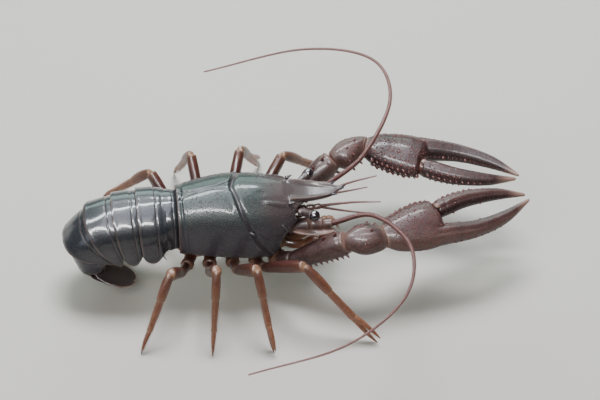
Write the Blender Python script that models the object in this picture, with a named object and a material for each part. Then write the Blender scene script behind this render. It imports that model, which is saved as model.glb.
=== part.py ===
"""Red swamp crayfish, life size, standing on its walking legs with both claws reaching forward.

The head points along +X, the left side is +Y and the floor is Z = 0. Sizes are in millimetres, and
new_object() and tube() turn them into metres. Every piece of shell is one closed solid, and two that
touch in life keep GAP between their faces.
"""

import math

import bmesh
import bpy
from mathutils import Matrix, Vector

MM = 0.001
GAP = 0.3
SIDES = {"left": 1, "right": -1}

# Carapace: stations run along its back from the rear edge to the front edge, as (place on X, value).
REAR_X = -20.0
FRONT_X = 22.0
ROSTRUM_TIP_X = 35.0
CARAPACE_HALF_WIDTH = ((REAR_X, 10.6), (-7, 13.5), (4, 12.9), (14, 10.9), (FRONT_X, 8.6))
CARAPACE_TOP = ((REAR_X, 36.6), (-6, 39.4), (6, 38.6), (15, 36.6), (FRONT_X, 34.8))
CARAPACE_WAIST = ((REAR_X, 26.5), (-6, 25.0), (10, 26.5), (FRONT_X, 28.0))
CARAPACE_BOTTOM = ((REAR_X, 18.0), (-6, 14.8), (6, 15.4), (15, 18.4), (FRONT_X, 21.0))
CARAPACE_TUCK = ((REAR_X, 0.75), (-6, 0.62), (10, 0.70), (FRONT_X, 0.84))
CARAPACE_LEAN = ((REAR_X, 0.0), (-1, 9.0), (FRONT_X, -8.0))
BELLY_RISE = 3.2
GROOVE_X = -1.0
GROOVE_WIDTH = 1.5
GROOVE_DEPTH = 0.8
ORBIT = {"middle": (22.2, 7.2, 31.4), "radii": (4.2, 3.6, 2.9)}
RIDGE_ROUTE = ((3.5, 5.0, 1.1), (9.0, 5.9, 0.35), (14.0, 6.1, 0.25), (17.4, 5.9, 0.7))
GRANULES = ((9.5, 26), (12.5, 20), (6.5, 17), (10.0, 12), (13.8, 31), (5.6, 33))

ROSTRUM_ROOT_X = 17.0
ROSTRUM_HALF_WIDTH = ((ROSTRUM_ROOT_X, 5.0), (24, 4.3), (31, 2.5), (32, 1.5), (ROSTRUM_TIP_X, 0.35))
ROSTRUM_TOP = ((ROSTRUM_ROOT_X, 35.9), (23, 35.1), (31, 34.6), (ROSTRUM_TIP_X, 35.4))
ROSTRUM_THICKNESS = 1.9
ROSTRUM_DISH = ((ROSTRUM_ROOT_X, 0.0), (22.5, 0.05), (26, 0.65), (31, 0.6), (ROSTRUM_TIP_X, 0.1))

# Abdomen: six rings hinged on planes, each turned down from the one ahead of it, then the fan folded under.
AXIS_Z = 26.0
SOMITE_LENGTH = (4.6, 7.4, 7.0, 6.6, 6.2, 7.4)
SOMITE_PITCH = (0, 2, 6, 17, 46, 94)
SOMITE_HALF_WIDTH = (9.9, 11.7, 11.5, 10.9, 10.1, 9.0)
SOMITE_HEIGHT = (9.4, 10.0, 9.7, 9.1, 8.3, 6.9)
PLEURON_DEPTH = (5.2, 9.0, 9.2, 8.8, 7.2, 4.8)
BELLY_DEPTH = 4.4
PLEURON_THICKNESS = 1.2
LAST_WIDTH, LAST_HEIGHT = 8.3, 4.6
FAN_PITCH = 165

TELSON = {"length": 13.8, "half_width": 5.3, "thickness": 1.4, "height": 3.4, "bend": 3.6}
UROPODS = {
    "inner": {"root": 4.4, "height": 1.0, "bend": 2.4, "splay": 3, "length": 14.6, "half_width": 4.5},
    "outer": {"root": 5.8, "height": -1.3, "bend": 1.4, "splay": 6, "length": 14.8, "half_width": 5.1},
}
BEND_LENGTH = 1.75  # the length of a blade's bend, as a multiple of its "bend"
BLADE_THICKNESS = 0.9

# Thoracic limbs: the claw arm first, then four pairs of walking legs.
COXA_X = (10.2, 3.6, -3.0, -9.4, -15.4)
COXA_HEADING = (22, 14, 4, -8, -22)
COXA_RADIUS = (3.0, 2.2, 2.2, 2.2, 2.1)
COXA_Y, COXA_Z, COXA_REACH = 3.0, 12.35, 6.6
JAW_ROOT_X = 15.4

ELBOW = {"left": (34.0, 21.2, 26.4), "right": (34.6, 16.2, 26.0)}
WRIST = {"left": (45.2, 24.6, 27.4), "right": (46.2, 15.8, 26.4)}
CLAW_TIP = {"left": (96.4, 7.0, 25.0), "right": (97.0, 1.2, 25.0)}
CLAW_ROLL = {"left": 3, "right": 16}
CLAW_LENGTH = 52.0
PALM_LENGTH = 19.6
HAND_HALF_WIDTH = ((0, 3.7), (4, 6.3), (13, 8.4), (PALM_LENGTH, 8.1))
HAND_HALF_DEPTH = ((0, 3.3), (5, 4.8), (14, 5.2), (PALM_LENGTH, 4.6))
FINGER_START = 20.9
FINGER_MIDDLE = ((FINGER_START, -5.0), (31, -6.0), (42, -4.6), (CLAW_LENGTH, -0.9))
FINGER_HALF_WIDTH = ((FINGER_START, 3.4), (31, 2.8), (42, 2.1), (CLAW_LENGTH, 0.5))
FINGER_HALF_DEPTH = ((FINGER_START, 4.0), (31, 3.1), (42, 2.2), (CLAW_LENGTH, 0.5))
DACTYL_START = 21.0
DACTYL_END = 51.2
DACTYL_MIDDLE = ((DACTYL_START, 4.4), (31, 5.4), (42, 4.1), (DACTYL_END, 1.1))
DACTYL_HALF_WIDTH = ((DACTYL_START, 3.0), (26, 3.0), (42, 2.0), (DACTYL_END, 0.5))
DACTYL_HALF_DEPTH = ((DACTYL_START, 3.2), (26, 3.3), (42, 2.1), (DACTYL_END, 0.5))

# Walking legs: knee and tip of each, as (X, distance from the midline, Z).
LEG_KNEE = {
    "left": ((17.5, 26.0, 25.5), (3.5, 28.5, 27.0), (-13.0, 28.5, 26.5), (-27.0, 24.0, 24.0)),
    "right": ((19.5, 26.0, 26.0), (4.0, 26.5, 26.5), (-9.0, 26.0, 27.0), (-24.0, 23.0, 24.0)),
}
LEG_TIP = {
    "left": ((36.0, 41.0), (11.5, 47.0), (-18.0, 46.0), (-43.0, 37.0)),
    "right": ((42.0, 38.0), (8.0, 39.0), (-12.0, 38.5), (-35.0, 35.0)),
}
PINCER_LEGS = (0, 1)

# Feelers.
FLAGELLUM_PARTS = ("base", "middle", "tip")
FLAGELLUM_ROUTE = {
    "left": ((30, 8.6, 27.2), (43, 13, 36), (54, 32, 42), (50, 53, 41), (28, 65, 36), (-5, 66, 28)),
    "right": ((30, 8.6, 27.2), (43, 14, 35), (53, 31, 37), (49, 48, 32), (29, 60, 25), (-2, 62, 17)),
}
FLAGELLUM_RADIUS = (0.95, 0.28)

MATERIALS = {
    "shell": ((0.045, 0.018, 0.020), 0.25),
    "claw": ((0.120, 0.022, 0.018), 0.28),
    "leg": ((0.300, 0.085, 0.035), 0.38),
    "belly": ((0.360, 0.170, 0.100), 0.45),
    "feeler": ((0.200, 0.045, 0.030), 0.40),
    "eye": ((0.004, 0.004, 0.005), 0.08),
}


def material(name):
    made = bpy.data.materials.get(name)
    if made is None:
        colour, roughness = MATERIALS[name]
        made = bpy.data.materials.new(name)
        made.use_nodes = True
        finish = made.node_tree.nodes["Principled BSDF"]
        finish.inputs["Base Color"].default_value = (*colour, 1.0)
        finish.inputs["Roughness"].default_value = roughness
        finish.inputs["Metallic"].default_value = 0.0
    return made


def new_object(name, mesh, finish):
    """Links a mesh whose points are already in metres as an object of the crayfish."""
    mesh.materials.clear()
    mesh.materials.append(material(finish))
    mesh.shade_smooth()
    mesh.set_sharp_from_angle(angle=math.radians(40))
    made = bpy.data.objects.new(name, mesh)
    CRAYFISH.objects.link(made)
    return made


def smooth(stations, place):
    """The value at a place on a smooth curve through a few (place, value) stations."""
    place = min(max(place, stations[0][0]), stations[-1][0])
    last = len(stations) - 2
    i = next((k for k in range(last) if place <= stations[k + 1][0]), last)

    def slope(k):
        before, after = stations[max(k - 1, 0)], stations[min(k + 1, last + 1)]
        return (after[1] - before[1]) / (after[0] - before[0])

    (start, low), (end, high) = stations[i], stations[i + 1]
    span = end - start
    t = (place - start) / span
    ease = t * t * (3 - 2 * t)
    return (
        low * (1 - ease)
        + high * ease
        + span * t * (1 - t) * ((1 - t) * slope(i) - t * slope(i + 1))
    )


def curve_points(route, count):
    """Evenly numbered points on a smooth curve through a short route."""
    places = range(len(route))
    axes = [tuple(zip(places, values)) for values in zip(*route)]
    steps = [k * (len(route) - 1) / (count - 1) for k in range(count)]
    return [Vector(smooth(axis, step) for axis in axes) for step in steps]


def loft(name, rings, finish):
    """A closed solid through rings that have the same number of points, capped at both ends."""
    shape = bmesh.new()
    loops = [[shape.verts.new(Vector(point) * MM) for point in ring] for ring in rings]
    for ahead, behind in zip(loops, loops[1:]):
        for i in range(len(ahead)):
            shape.faces.new((ahead[i - 1], ahead[i], behind[i], behind[i - 1]))
    shape.faces.new(loops[0])
    shape.faces.new(loops[-1])
    bmesh.ops.triangulate(shape, faces=shape.faces[-2:])
    bmesh.ops.recalc_face_normals(shape, faces=shape.faces)
    mesh = bpy.data.meshes.new(name)
    shape.to_mesh(mesh)
    shape.free()
    return new_object(name, mesh, finish)


def tube(name, points, radii, finish, sides=8):
    """A round tube of changing radius along points, with flat ends, as a mesh."""
    line = bpy.data.curves.new(name, "CURVE")
    line.dimensions = "3D"
    line.bevel_depth = MM
    line.bevel_resolution = sides // 2 - 2
    line.use_fill_caps = True
    spline = line.splines.new("POLY")
    spline.points.add(len(points) - 1)
    for knot, point, radius in zip(spline.points, points, radii):
        knot.co = (*(Vector(point) * MM), 1.0)
        knot.radius = radius
    guide = bpy.data.objects.new(name + "_line", line)
    CRAYFISH.objects.link(guide)
    graph = bpy.context.evaluated_depsgraph_get()
    mesh = bpy.data.meshes.new_from_object(guide.evaluated_get(graph))
    mesh.name = name
    bpy.data.objects.remove(guide)
    shape = bmesh.new()
    shape.from_mesh(mesh)
    bmesh.ops.remove_doubles(shape, verts=shape.verts, dist=MM * 0.01)
    bmesh.ops.recalc_face_normals(shape, faces=shape.faces)
    shape.to_mesh(mesh)
    shape.free()
    return new_object(name, mesh, finish)


def oval(centre, across, up, half_width, half_height, sides=12):
    """A ring round centre, in the plane of two unit vectors."""
    turns = [2 * math.pi * k / sides for k in range(sides)]
    return [
        centre + across * (half_width * math.cos(turn)) + up * (half_height * math.sin(turn))
        for turn in turns
    ]


def thorn(point, direction, radius, height, finish):
    """A low five-sided tubercle or spine, its root sunk into the shell under point."""
    direction = Vector(direction).normalized()
    sunk = radius
    bpy.ops.mesh.primitive_cone_add(
        vertices=5, radius1=radius * MM, radius2=radius * 0.2 * MM, depth=(height + sunk) * MM
    )
    made = bpy.context.object
    turn = direction.to_track_quat("Z", "Y").to_matrix().to_4x4()
    place = (Vector(point) + direction * ((height - sunk) / 2)) * MM
    made.data.transform(Matrix.Translation(place) @ turn)
    made.data.materials.append(material(finish))
    return made


def fuse(core, pieces):
    """Joins the pieces to core with one union and keeps the one closed body."""
    group = bpy.data.collections.new(core.name + "_pieces")
    bpy.context.scene.collection.children.link(group)
    for piece in pieces:
        for holder in list(piece.users_collection):
            holder.objects.unlink(piece)
        group.objects.link(piece)
    union = core.modifiers.new("union", "BOOLEAN")
    union.operation = "UNION"
    union.operand_type = "COLLECTION"
    union.collection = group
    union.solver = "MANIFOLD"
    with bpy.context.temp_override(object=core, active_object=core):
        bpy.ops.object.modifier_apply(modifier=union.name)
    for piece in list(group.objects):
        bpy.data.objects.remove(piece)
    bpy.data.collections.remove(group)
    keep_largest_body(core.data)
    return core


def keep_largest_body(mesh):
    shape = bmesh.new()
    shape.from_mesh(mesh)
    waiting = set(shape.verts)
    bodies = []
    while waiting:
        found = {waiting.pop()}
        edge_of = list(found)
        while edge_of:
            vert = edge_of.pop()
            near = {edge.other_vert(vert) for edge in vert.link_edges} & waiting
            waiting -= near
            found |= near
            edge_of.extend(near)
        bodies.append(found)
    largest = max(bodies, key=len)
    loose = [vert for vert in shape.verts if vert not in largest]
    bmesh.ops.delete(shape, geom=loose, context="VERTS")
    shape.to_mesh(mesh)
    shape.free()


# --- Carapace -------------------------------------------------------------------------------------


def carapace_ring(station, shrink=0.0):
    """One ring of the head shield. It leans, so that its lower edge lies ahead of or behind its top."""
    width = smooth(CARAPACE_HALF_WIDTH, station) - shrink
    top = smooth(CARAPACE_TOP, station) - shrink
    waist = smooth(CARAPACE_WAIST, station)
    bottom = smooth(CARAPACE_BOTTOM, station)
    tuck = smooth(CARAPACE_TUCK, station)
    outline = []
    for step in range(13):
        turn = math.pi * step / 12
        height = waist + (top - waist) * math.sin(turn) ** 0.92
        outline.append((width * math.copysign(abs(math.cos(turn)) ** 0.95, math.cos(turn)), height))
    for step in (1, 2, 3):
        turn = math.pi / 2 * step / 3
        inward = width * (tuck + (1 - tuck) * math.cos(turn))
        drop = waist - (waist - bottom) * math.sin(turn)
        outline.append((-inward, drop))
        outline.insert(0, (inward, drop))
    belly = bottom + BELLY_RISE
    for share in (-0.88, -0.4, 0.4, 0.88):
        outline.append((width * tuck * share, belly - 1.2 * (abs(share) > 0.5)))
    lean = smooth(CARAPACE_LEAN, station)
    return [
        Vector((station + lean * (top - height) / (top - bottom), y, height)) for y, height in outline
    ]


def rostrum():
    """The pointed, dished blade between the eyes, its root sunk in the shield."""
    rings = []
    for station in (ROSTRUM_ROOT_X, 20.5, 23, 25.5, 28, 31, 32, 33.5, ROSTRUM_TIP_X):
        half = smooth(ROSTRUM_HALF_WIDTH, station)
        top = smooth(ROSTRUM_TOP, station)
        share = half / ROSTRUM_HALF_WIDTH[0][1]
        dish = smooth(ROSTRUM_DISH, station)
        under = top - ROSTRUM_THICKNESS * (0.35 + 0.65 * share)
        section = ((1, 0), (0.72, 0), (0.45, -dish), (-0.45, -dish), (-0.72, 0), (-1, 0))
        ring = [Vector((station, half * y, top + z)) for y, z in section]
        ring += [Vector((station, half * y, under)) for y in (-0.8, 0.8)]
        rings.append(ring)
    return loft("rostrum", rings, "shell")


def shield_point(x, turn, side):
    """A point on the shield's flank, and the way out of it, at an angle up from its widest line."""
    angle = math.radians(turn)
    width, waist, top = (
        smooth(line, x) for line in (CARAPACE_HALF_WIDTH, CARAPACE_WAIST, CARAPACE_TOP)
    )
    height = waist + (top - waist) * math.sin(angle) ** 0.92
    rise = smooth(CARAPACE_LEAN, x) * (top - height) / (top - smooth(CARAPACE_BOTTOM, x))
    out = Vector((0, side * math.cos(angle) / width, math.sin(angle) / (top - waist)))
    return Vector((x + rise, side * width * math.cos(angle) ** 0.95, height)), out.normalized()


def hollow_orbits(shield):
    """Cuts the hollow that each eye sits in out of the front edge of the shield."""
    for side in SIDES.values():
        x, y, z = ORBIT["middle"]
        bpy.ops.mesh.primitive_uv_sphere_add(segments=14, ring_count=9, radius=MM)
        ball = bpy.context.object
        ball.data.transform(Matrix.Diagonal((*ORBIT["radii"], 1)))
        ball.data.transform(Matrix.Translation(Vector((x, y * side, z)) * MM))
        cut = shield.modifiers.new("orbit", "BOOLEAN")
        cut.operation = "DIFFERENCE"
        cut.object = ball
        cut.solver = "MANIFOLD"
        with bpy.context.temp_override(object=shield, active_object=shield):
            bpy.ops.object.modifier_apply(modifier=cut.name)
        bpy.data.objects.remove(ball)


def carapace():
    stations = [REAR_X, REAR_X + 1.2, -16.5, -13, -9.5, -6, GROOVE_X - GROOVE_WIDTH]
    stations += [GROOVE_X, GROOVE_X + GROOVE_WIDTH, 4, 7.5, 11, 14.5, 18.5, FRONT_X]
    rings = [carapace_ring(x, GROOVE_DEPTH * (x == GROOVE_X)) for x in stations]
    shield = loft("carapace", rings, "shell")
    hollow_orbits(shield)
    spines = [rostrum()]
    for side in SIDES.values():
        spines.append(thorn((31, 2.3 * side, 34.3), (1.0, 0.45 * side, 0.1), 0.7, 1.5, "shell"))
        spines.append(thorn((16.6, 6.0 * side, 35.1), (1.0, 0.1 * side, 0.5), 0.9, 1.6, "shell"))
        spines.append(thorn((3.6, 12.3 * side, 29.2), (0.6, 1.0 * side, 0.3), 0.9, 1.4, "shell"))
        ridge = []
        for x, y, sunk in RIDGE_ROUTE:
            turn = math.degrees(math.acos(y / smooth(CARAPACE_HALF_WIDTH, x)))
            ridge.append(shield_point(x, turn, side)[0] - Vector((0, 0, sunk)))
        spines.append(tube("ridge", ridge, (0.5, 0.75, 0.8, 0.4), "shell", 6))
        for x, turn in GRANULES:
            place, out = shield_point(x, turn, side)
            spines.append(thorn(place, out + Vector((0.5, 0, 0)), 0.55, 0.5, "shell"))
    return fuse(shield, spines)


# --- Underside of the thorax ----------------------------------------------------------------------


def coxa_frame(limb, side):
    """The middle of a coxa's outer face, and the direction in which its limb leaves."""
    heading = math.radians(COXA_HEADING[limb])
    out = Vector((math.sin(heading), side * math.cos(heading), 0.0))
    root = Vector((COXA_X[limb], side * COXA_Y, COXA_Z))
    return root + out * COXA_REACH, out


def underside():
    """The breastplate between the limbs, with the jaws and the first joint of every limb fused to it."""
    rings = []
    for station, half, low, high in (
        (-18.0, 3.6, 12.6, 17.6),
        (-15.0, 5.0, 10.6, 17.4),
        (-5.0, 5.6, 10.2, 17.2),
        (7.0, 5.4, 10.0, 17.6),
        (12.5, 5.0, 10.2, 18.0),
        (JAW_ROOT_X, 4.6, 11.2, 18.2),
    ):
        middle = Vector((station, 0, (low + high) / 2))
        rings.append(
            oval(middle, Vector((0, 1, 0)), Vector((0, 0, 1)), half, (high - low) / 2, 14)
        )
    core = loft("thorax_underside", rings, "belly")
    stubs = []
    for limb, radius in enumerate(COXA_RADIUS):
        for side in SIDES.values():
            face, out = coxa_frame(limb, side)
            inner = face - out * COXA_REACH
            swell = face - out * 2.0
            stubs.append(
                tube("coxa", (inner, swell, face), (radius * 0.9, radius, radius * 0.86), "belly")
            )
    for side in SIDES.values():
        jaw = ((13.4, 1.9 * side, 17.6), (16.2, 2.1 * side, 19.6), (18.2, 1.9 * side, 22.2))
        stubs.append(tube("jaw", jaw, (1.9, 2.4, 1.3), "belly"))
    return fuse(core, stubs)


# --- Abdomen and tail fan -------------------------------------------------------------------------


def abdomen_planes():
    """The hinge planes from the carapace to the tail fan, as (point, direction back, up)."""
    point = Vector((REAR_X - GAP / 2, 0, AXIS_Z))
    pitches = [0, *SOMITE_PITCH]
    planes = []
    for i, length in enumerate((*SOMITE_LENGTH, 0)):
        here = pitches[i + 1] if i < len(SOMITE_PITCH) else pitches[i]
        turn = math.radians((pitches[i] + here) / 2 if i else 0)
        back = Vector((-math.cos(turn), 0, -math.sin(turn)))
        up = Vector((-math.sin(turn), 0, math.cos(turn)))
        planes.append((point, back, up))
        along = math.radians(here)
        point = point + Vector((-math.cos(along), 0, -math.sin(along))) * length
    return planes


def somite_ring(centre, up, half_width, height, depth, belly):
    """A ring of one somite: an arch over the back, with a side plate hanging on each side."""
    half = []
    for step in range(7):
        turn = math.pi / 2 * step / 6
        half.append((half_width * math.cos(turn) ** 0.9, height * math.sin(turn) ** 0.95))
    outer = [(half_width * 0.93, -depth), (half_width * 0.995, -depth * 0.5)] + half
    inner = [(half_width * 0.93 - PLEURON_THICKNESS, -depth + 0.2)]
    inner += [(half_width * 0.93 - PLEURON_THICKNESS * 1.8, -belly), (half_width * 0.35, -belly - 0.6)]
    right = outer + [(-y, z) for y, z in outer[-2::-1]]
    below = [(-y, z) for y, z in inner] + inner[::-1]
    return [centre + Vector((0, y, 0)) + up * z for y, z in right + below]


def somite_shape(number, share):
    """Half width, height, side plate depth and belly depth of a somite at a share of its length."""
    swell = smooth(((0, 0.945), (0.3, 0.985), (0.85, 1.0), (1, 0.985)), share)
    lobe = smooth(((0, 0.60), (0.3, 0.92), (0.62, 1.0), (0.88, 0.86), (1, 0.66)), share)
    width, height = SOMITE_HALF_WIDTH[number], SOMITE_HEIGHT[number]
    belly = BELLY_DEPTH - 0.25 * number
    if number == len(SOMITE_LENGTH) - 1:
        width += (LAST_WIDTH - width) * share
        height += (LAST_HEIGHT - height) * share**1.5
    return width * swell, height * swell, max(PLEURON_DEPTH[number] * lobe, belly + 0.3), belly


def swimmeret(centre, up, side, length):
    """One of the paired paddles under the abdomen, flat and tapering to its tip."""
    down = (-up + Vector((0.45, 0.18 * side, 0))).normalized()
    across = Vector((0, 1, 0))
    rings = []
    for share, half in ((-0.15, 0.8), (0.2, 0.9), (0.55, 1.5), (0.85, 1.3), (1.0, 0.5)):
        rings.append(oval(centre + down * (length * share), across, down.cross(across), half, 0.5, 6))
    return loft("swimmeret", rings, "belly")


def abdomen():
    planes = abdomen_planes()
    for number, (front, rear) in enumerate(zip(planes, planes[1:])):
        rings = []
        for share in (0, 0.1, 0.3, 0.6, 0.88, 1.0):
            centre = front[0].lerp(rear[0], share)
            up = front[2].lerp(rear[2], share).normalized()
            inset = GAP / 2 * ((share == 0) - (share == 1))
            centre = centre + front[1].lerp(rear[1], share).normalized() * inset
            rings.append(somite_ring(centre, up, *somite_shape(number, share)))
        ring = loft(f"abdomen_{number + 1}", rings, "shell")
        if 0 < number < 5:
            middle = front[0].lerp(rear[0], 0.5)
            up = front[2].lerp(rear[2], 0.5).normalized()
            paddles = []
            for side in SIDES.values():
                root = middle - up * (BELLY_DEPTH + 0.2) + Vector((0, 4.6 * side, 0))
                paddles.append(swimmeret(root, up, side, 7.6 - 0.6 * number))
            fuse(ring, paddles)


def fan_frame():
    """The last somite's rear face, and the tail fan's way back and up."""
    pitch = math.radians(FAN_PITCH)
    direction = Vector((-math.cos(pitch), 0, -math.sin(pitch)))
    return abdomen_planes()[-1], direction, Vector((-math.sin(pitch), 0, math.cos(pitch)))


def blade(name, root, along, across, up, length, half_width, thickness, bend, stem, ridge, sides=9):
    """A flat, round-ended plate of the tail fan with a low ridge along its middle.

    It leaves the rear face of the last somite squarely, GAP behind it, and then bends forward.
    """
    (_, back, rise), _, _ = fan_frame()
    root = root + back * GAP
    rings = []
    for share in (0, 0.1, 0.2, 0.3, 0.42, 0.55, 0.78, 0.92, 1.0):
        spread = smooth(((0, stem), (0.3, 0.86), (0.62, 1.0), (0.85, 0.86), (1, 0.46)), share)
        half = half_width * spread
        half_thick = thickness / 2 * (1 - 0.35 * share)
        gone = length * share
        turned = min(gone / (BEND_LENGTH * bend), 1)
        centre = root + back * (bend * turned * (2 - turned)) + along * (bend * turned**2)
        centre = centre + along * max(gone - BEND_LENGTH * bend, 0)
        wide = Vector((0, 1, 0)).lerp(across, turned).normalized()
        over = rise.lerp(up, turned).normalized()
        upper, lower = [], []
        for k in range(sides):
            y = -1 + 2 * k / (sides - 1)
            edge = half_thick * (1 - 0.55 * y**4)
            bump = ridge * max(0, 1 - (3.2 * y) ** 2) * (1 - share)
            camber = -0.35 * y * y
            bow = -0.9 * half_width * 0.25 * y * y * (share > 0.9)
            place = centre + wide * (half * y) + along * bow
            upper.append(place + over * (edge + bump + camber))
            lower.append(place + over * (-edge + camber))
        rings.append(upper + lower[::-1])
    return loft(name, rings, "shell")


def tail_fan():
    (start, _, rise), back, up = fan_frame()
    middle = Vector((0, 1, 0))
    root = start + rise * TELSON["height"]
    blade(
        "telson", root, back, middle, up,
        TELSON["length"], TELSON["half_width"], TELSON["thickness"], TELSON["bend"], 0.92, 0.25,
    )
    for side_name, side in SIDES.items():
        for which, size in UROPODS.items():
            splay = math.radians(size["splay"]) * side
            along = back * math.cos(splay) + middle * math.sin(splay)
            across = middle * math.cos(splay) - back * math.sin(splay)
            root = start + rise * size["height"] + middle * (size["root"] * side)
            blade(
                f"uropod_{which}_{side_name}", root, along, across, up,
                size["length"], size["half_width"], BLADE_THICKNESS, size["bend"], 0.34, 0.3,
            )


# --- Claw arms ------------------------------------------------------------------------------------


def mirrored(point, side):
    return Vector((point[0], point[1] * side, point[2]))


def limb_rings(route, sizes, up, sides=12, first=None, last=None):
    """Oval rings along a route, each square to the way it runs there, or to first or last at its ends."""
    rings = []
    for i, (point, (half_width, half_height)) in enumerate(zip(route, sizes)):
        ahead, behind = route[min(i + 1, len(route) - 1)], route[max(i - 1, 0)]
        along = (ahead - behind).normalized()
        if i == 0 and first:
            along = first
        if i == len(route) - 1 and last:
            along = last
        across = along.cross(up).normalized()
        rings.append(oval(point, across, across.cross(along), half_width, half_height, sides))
    return rings


def arm(side_name, side):
    """The long joint of the claw arm, from the coxa to the elbow, with its spines."""
    face, out = coxa_frame(0, side)
    elbow = mirrored(ELBOW[side_name], side)
    wrist = mirrored(WRIST[side_name], side)
    bend = ((elbow - face).normalized() + (wrist - elbow).normalized()).normalized()
    start = face + out * GAP
    hip = start + out * 2.2 + Vector((1.2, 0, 0.6))
    end = elbow - bend * (GAP / 2)
    route = [start, start + out * 1.2, hip]
    route += [hip.lerp(end, share) for share in (0.2, 0.45, 0.75, 0.92)] + [end]
    sizes = ((2.5, 2.5), (2.6, 2.6), (2.5, 2.8), (2.8, 3.2), (3.3, 3.9), (3.8, 4.5), (3.6, 4.2), (2.9, 3.3))
    up = Vector((0, 0, 1))
    body = loft(f"arm_{side_name}", limb_rings(route, sizes, up, 12, out, bend), "claw")
    line = (end - hip).normalized()
    across = line.cross(up).normalized()
    top = across.cross(line)
    spines = []
    for share in (0.72, 0.9):
        spines.append(thorn(hip.lerp(end, share) + top * 4.1, line + top, 0.8, 1.2, "claw"))
    for share in (0.3, 0.48, 0.66, 0.84):
        reach = 2.8 + 1.2 * share
        for lean in (1, -1):
            low = (across * lean * 0.7 - top * 0.75).normalized()
            spines.append(thorn(hip.lerp(end, share) + low * reach, low + line * 0.4, 0.7, 1.1, "claw"))
    return fuse(body, spines)


def wrist(side_name, side):
    """The short, swollen joint between the arm and the hand."""
    elbow = mirrored(ELBOW[side_name], side)
    wrist_point = mirrored(WRIST[side_name], side)
    face, _ = coxa_frame(0, side)
    bend = ((elbow - face).normalized() + (wrist_point - elbow).normalized()).normalized()
    start = elbow + bend * (GAP / 2)
    along = claw_frame(side_name, side)[1]
    end = wrist_point - along * (GAP / 2)
    stations = (
        (0, 2.8, 3.1), (0.08, 3.5, 3.8), (0.28, 4.9, 4.6), (0.5, 5.4, 5.0),
        (0.72, 5.0, 4.8), (0.91, 4.1, 4.0), (1, 3.5, 3.3),
    )
    rings = []
    for share, half_width, half_height in stations:
        heading = bend.lerp(along, share).normalized()
        across = heading.cross(Vector((0, 0, 1))).normalized()
        up = across.cross(heading)
        rings.append(oval(start.lerp(end, share), across, up, half_width, half_height))
    body = loft(f"wrist_{side_name}", rings, "claw")
    line = (end - start).normalized()
    inner = Vector((0, -side, 0))
    top = Vector((0, 0, 1))
    spines = []
    for share, turn, reach in ((0.62, 5, 5.2), (0.56, 40, 5.1), (0.42, 72, 4.8), (0.58, -35, 5.0), (0.66, 100, 4.8)):
        angle = math.radians(turn)
        out = inner * math.cos(angle) + top * math.sin(angle)
        spines.append(thorn(start.lerp(end, share) + out * reach, out + line * 0.5, 0.8, 1.1, "claw"))
    return fuse(body, spines)


def claw_frame(side_name, side):
    """The hand's own frame: origin at the wrist, then along, towards the moving finger, and up."""
    origin = mirrored(WRIST[side_name], side)
    along = (mirrored(CLAW_TIP[side_name], side) - origin).normalized()
    inner = Vector((0, -side, 0))
    inner = (inner - along * inner.dot(along)).normalized()
    up = inner.cross(along) if side > 0 else along.cross(inner)
    roll = math.radians(CLAW_ROLL[side_name])
    towards = inner * math.cos(roll) + up * math.sin(roll)
    return origin, along, towards, up * math.cos(roll) - inner * math.sin(roll)


def claw_ring(frame, place, middle, half_width, half_depth, sides=14):
    origin, along, towards, up = frame
    return oval(origin + along * place + towards * middle, towards, up, half_width, half_depth, sides)


def hand(side_name, side):
    """The palm with the finger that doesn't move, and its rows of red tubercles."""
    frame = claw_frame(side_name, side)
    origin, along, towards, up = frame
    rings = []
    for place in (GAP / 2, 2.0, 5.0, 9.0, 13.5, PALM_LENGTH - 1.2, PALM_LENGTH):
        sizes = smooth(HAND_HALF_WIDTH, place), smooth(HAND_HALF_DEPTH, place)
        rings.append(claw_ring(frame, place, 0, *sizes))
    for place in (FINGER_START, 25, 30, 36, 42, 46.5, CLAW_LENGTH):
        sizes = smooth(FINGER_HALF_WIDTH, place), smooth(FINGER_HALF_DEPTH, place)
        rings.append(claw_ring(frame, place, smooth(FINGER_MIDDLE, place), *sizes))
    body = loft(f"hand_{side_name}", rings, "claw")
    bumps = []
    for row, turn in enumerate((-12, 20, 52)):
        angle = math.radians(turn)
        for step in range(6 - row):
            place = 4.0 + row * 0.8 + step * 2.5
            reach = towards * (smooth(HAND_HALF_WIDTH, place) * math.cos(angle))
            reach += up * (smooth(HAND_HALF_DEPTH, place) * math.sin(angle))
            bumps.append(thorn(origin + along * place + reach, reach + along * 1.5, 0.85, 0.9, "claw"))
    for place in (24, 28, 32, 36, 40):
        reach = towards * (smooth(FINGER_MIDDLE, place) + smooth(FINGER_HALF_WIDTH, place))
        bumps.append(thorn(origin + along * place + reach, towards, 0.7, 0.7, "claw"))
    return fuse(body, bumps)


def moving_finger(side_name, side):
    """The dactyl, hinged on the inner edge of the palm and a little open."""
    frame = claw_frame(side_name, side)
    origin, along, towards, up = frame
    rings = []
    for place in (DACTYL_START, 21.2, 25, 31, 37, 42, 46, DACTYL_END):
        narrow = 0.8 if place == DACTYL_START else 1.0
        sizes = smooth(DACTYL_HALF_WIDTH, place) * narrow, smooth(DACTYL_HALF_DEPTH, place) * narrow
        rings.append(claw_ring(frame, place, smooth(DACTYL_MIDDLE, place), *sizes, sides=12))
    body = loft(f"moving_finger_{side_name}", rings, "claw")
    bumps = []
    for place in (24, 27.5, 31, 34.5):
        middle = smooth(DACTYL_MIDDLE, place)
        reach = towards * (middle + smooth(DACTYL_HALF_WIDTH, place))
        bumps.append(thorn(origin + along * place + reach, towards + up * 0.2, 0.75, 0.8, "claw"))
    for place in (26, 30, 34, 38):
        middle = smooth(DACTYL_MIDDLE, place)
        reach = towards * (middle - smooth(DACTYL_HALF_WIDTH, place))
        bumps.append(thorn(origin + along * place + reach, -towards, 0.65, 0.6, "claw"))
    return fuse(body, bumps)


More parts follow.
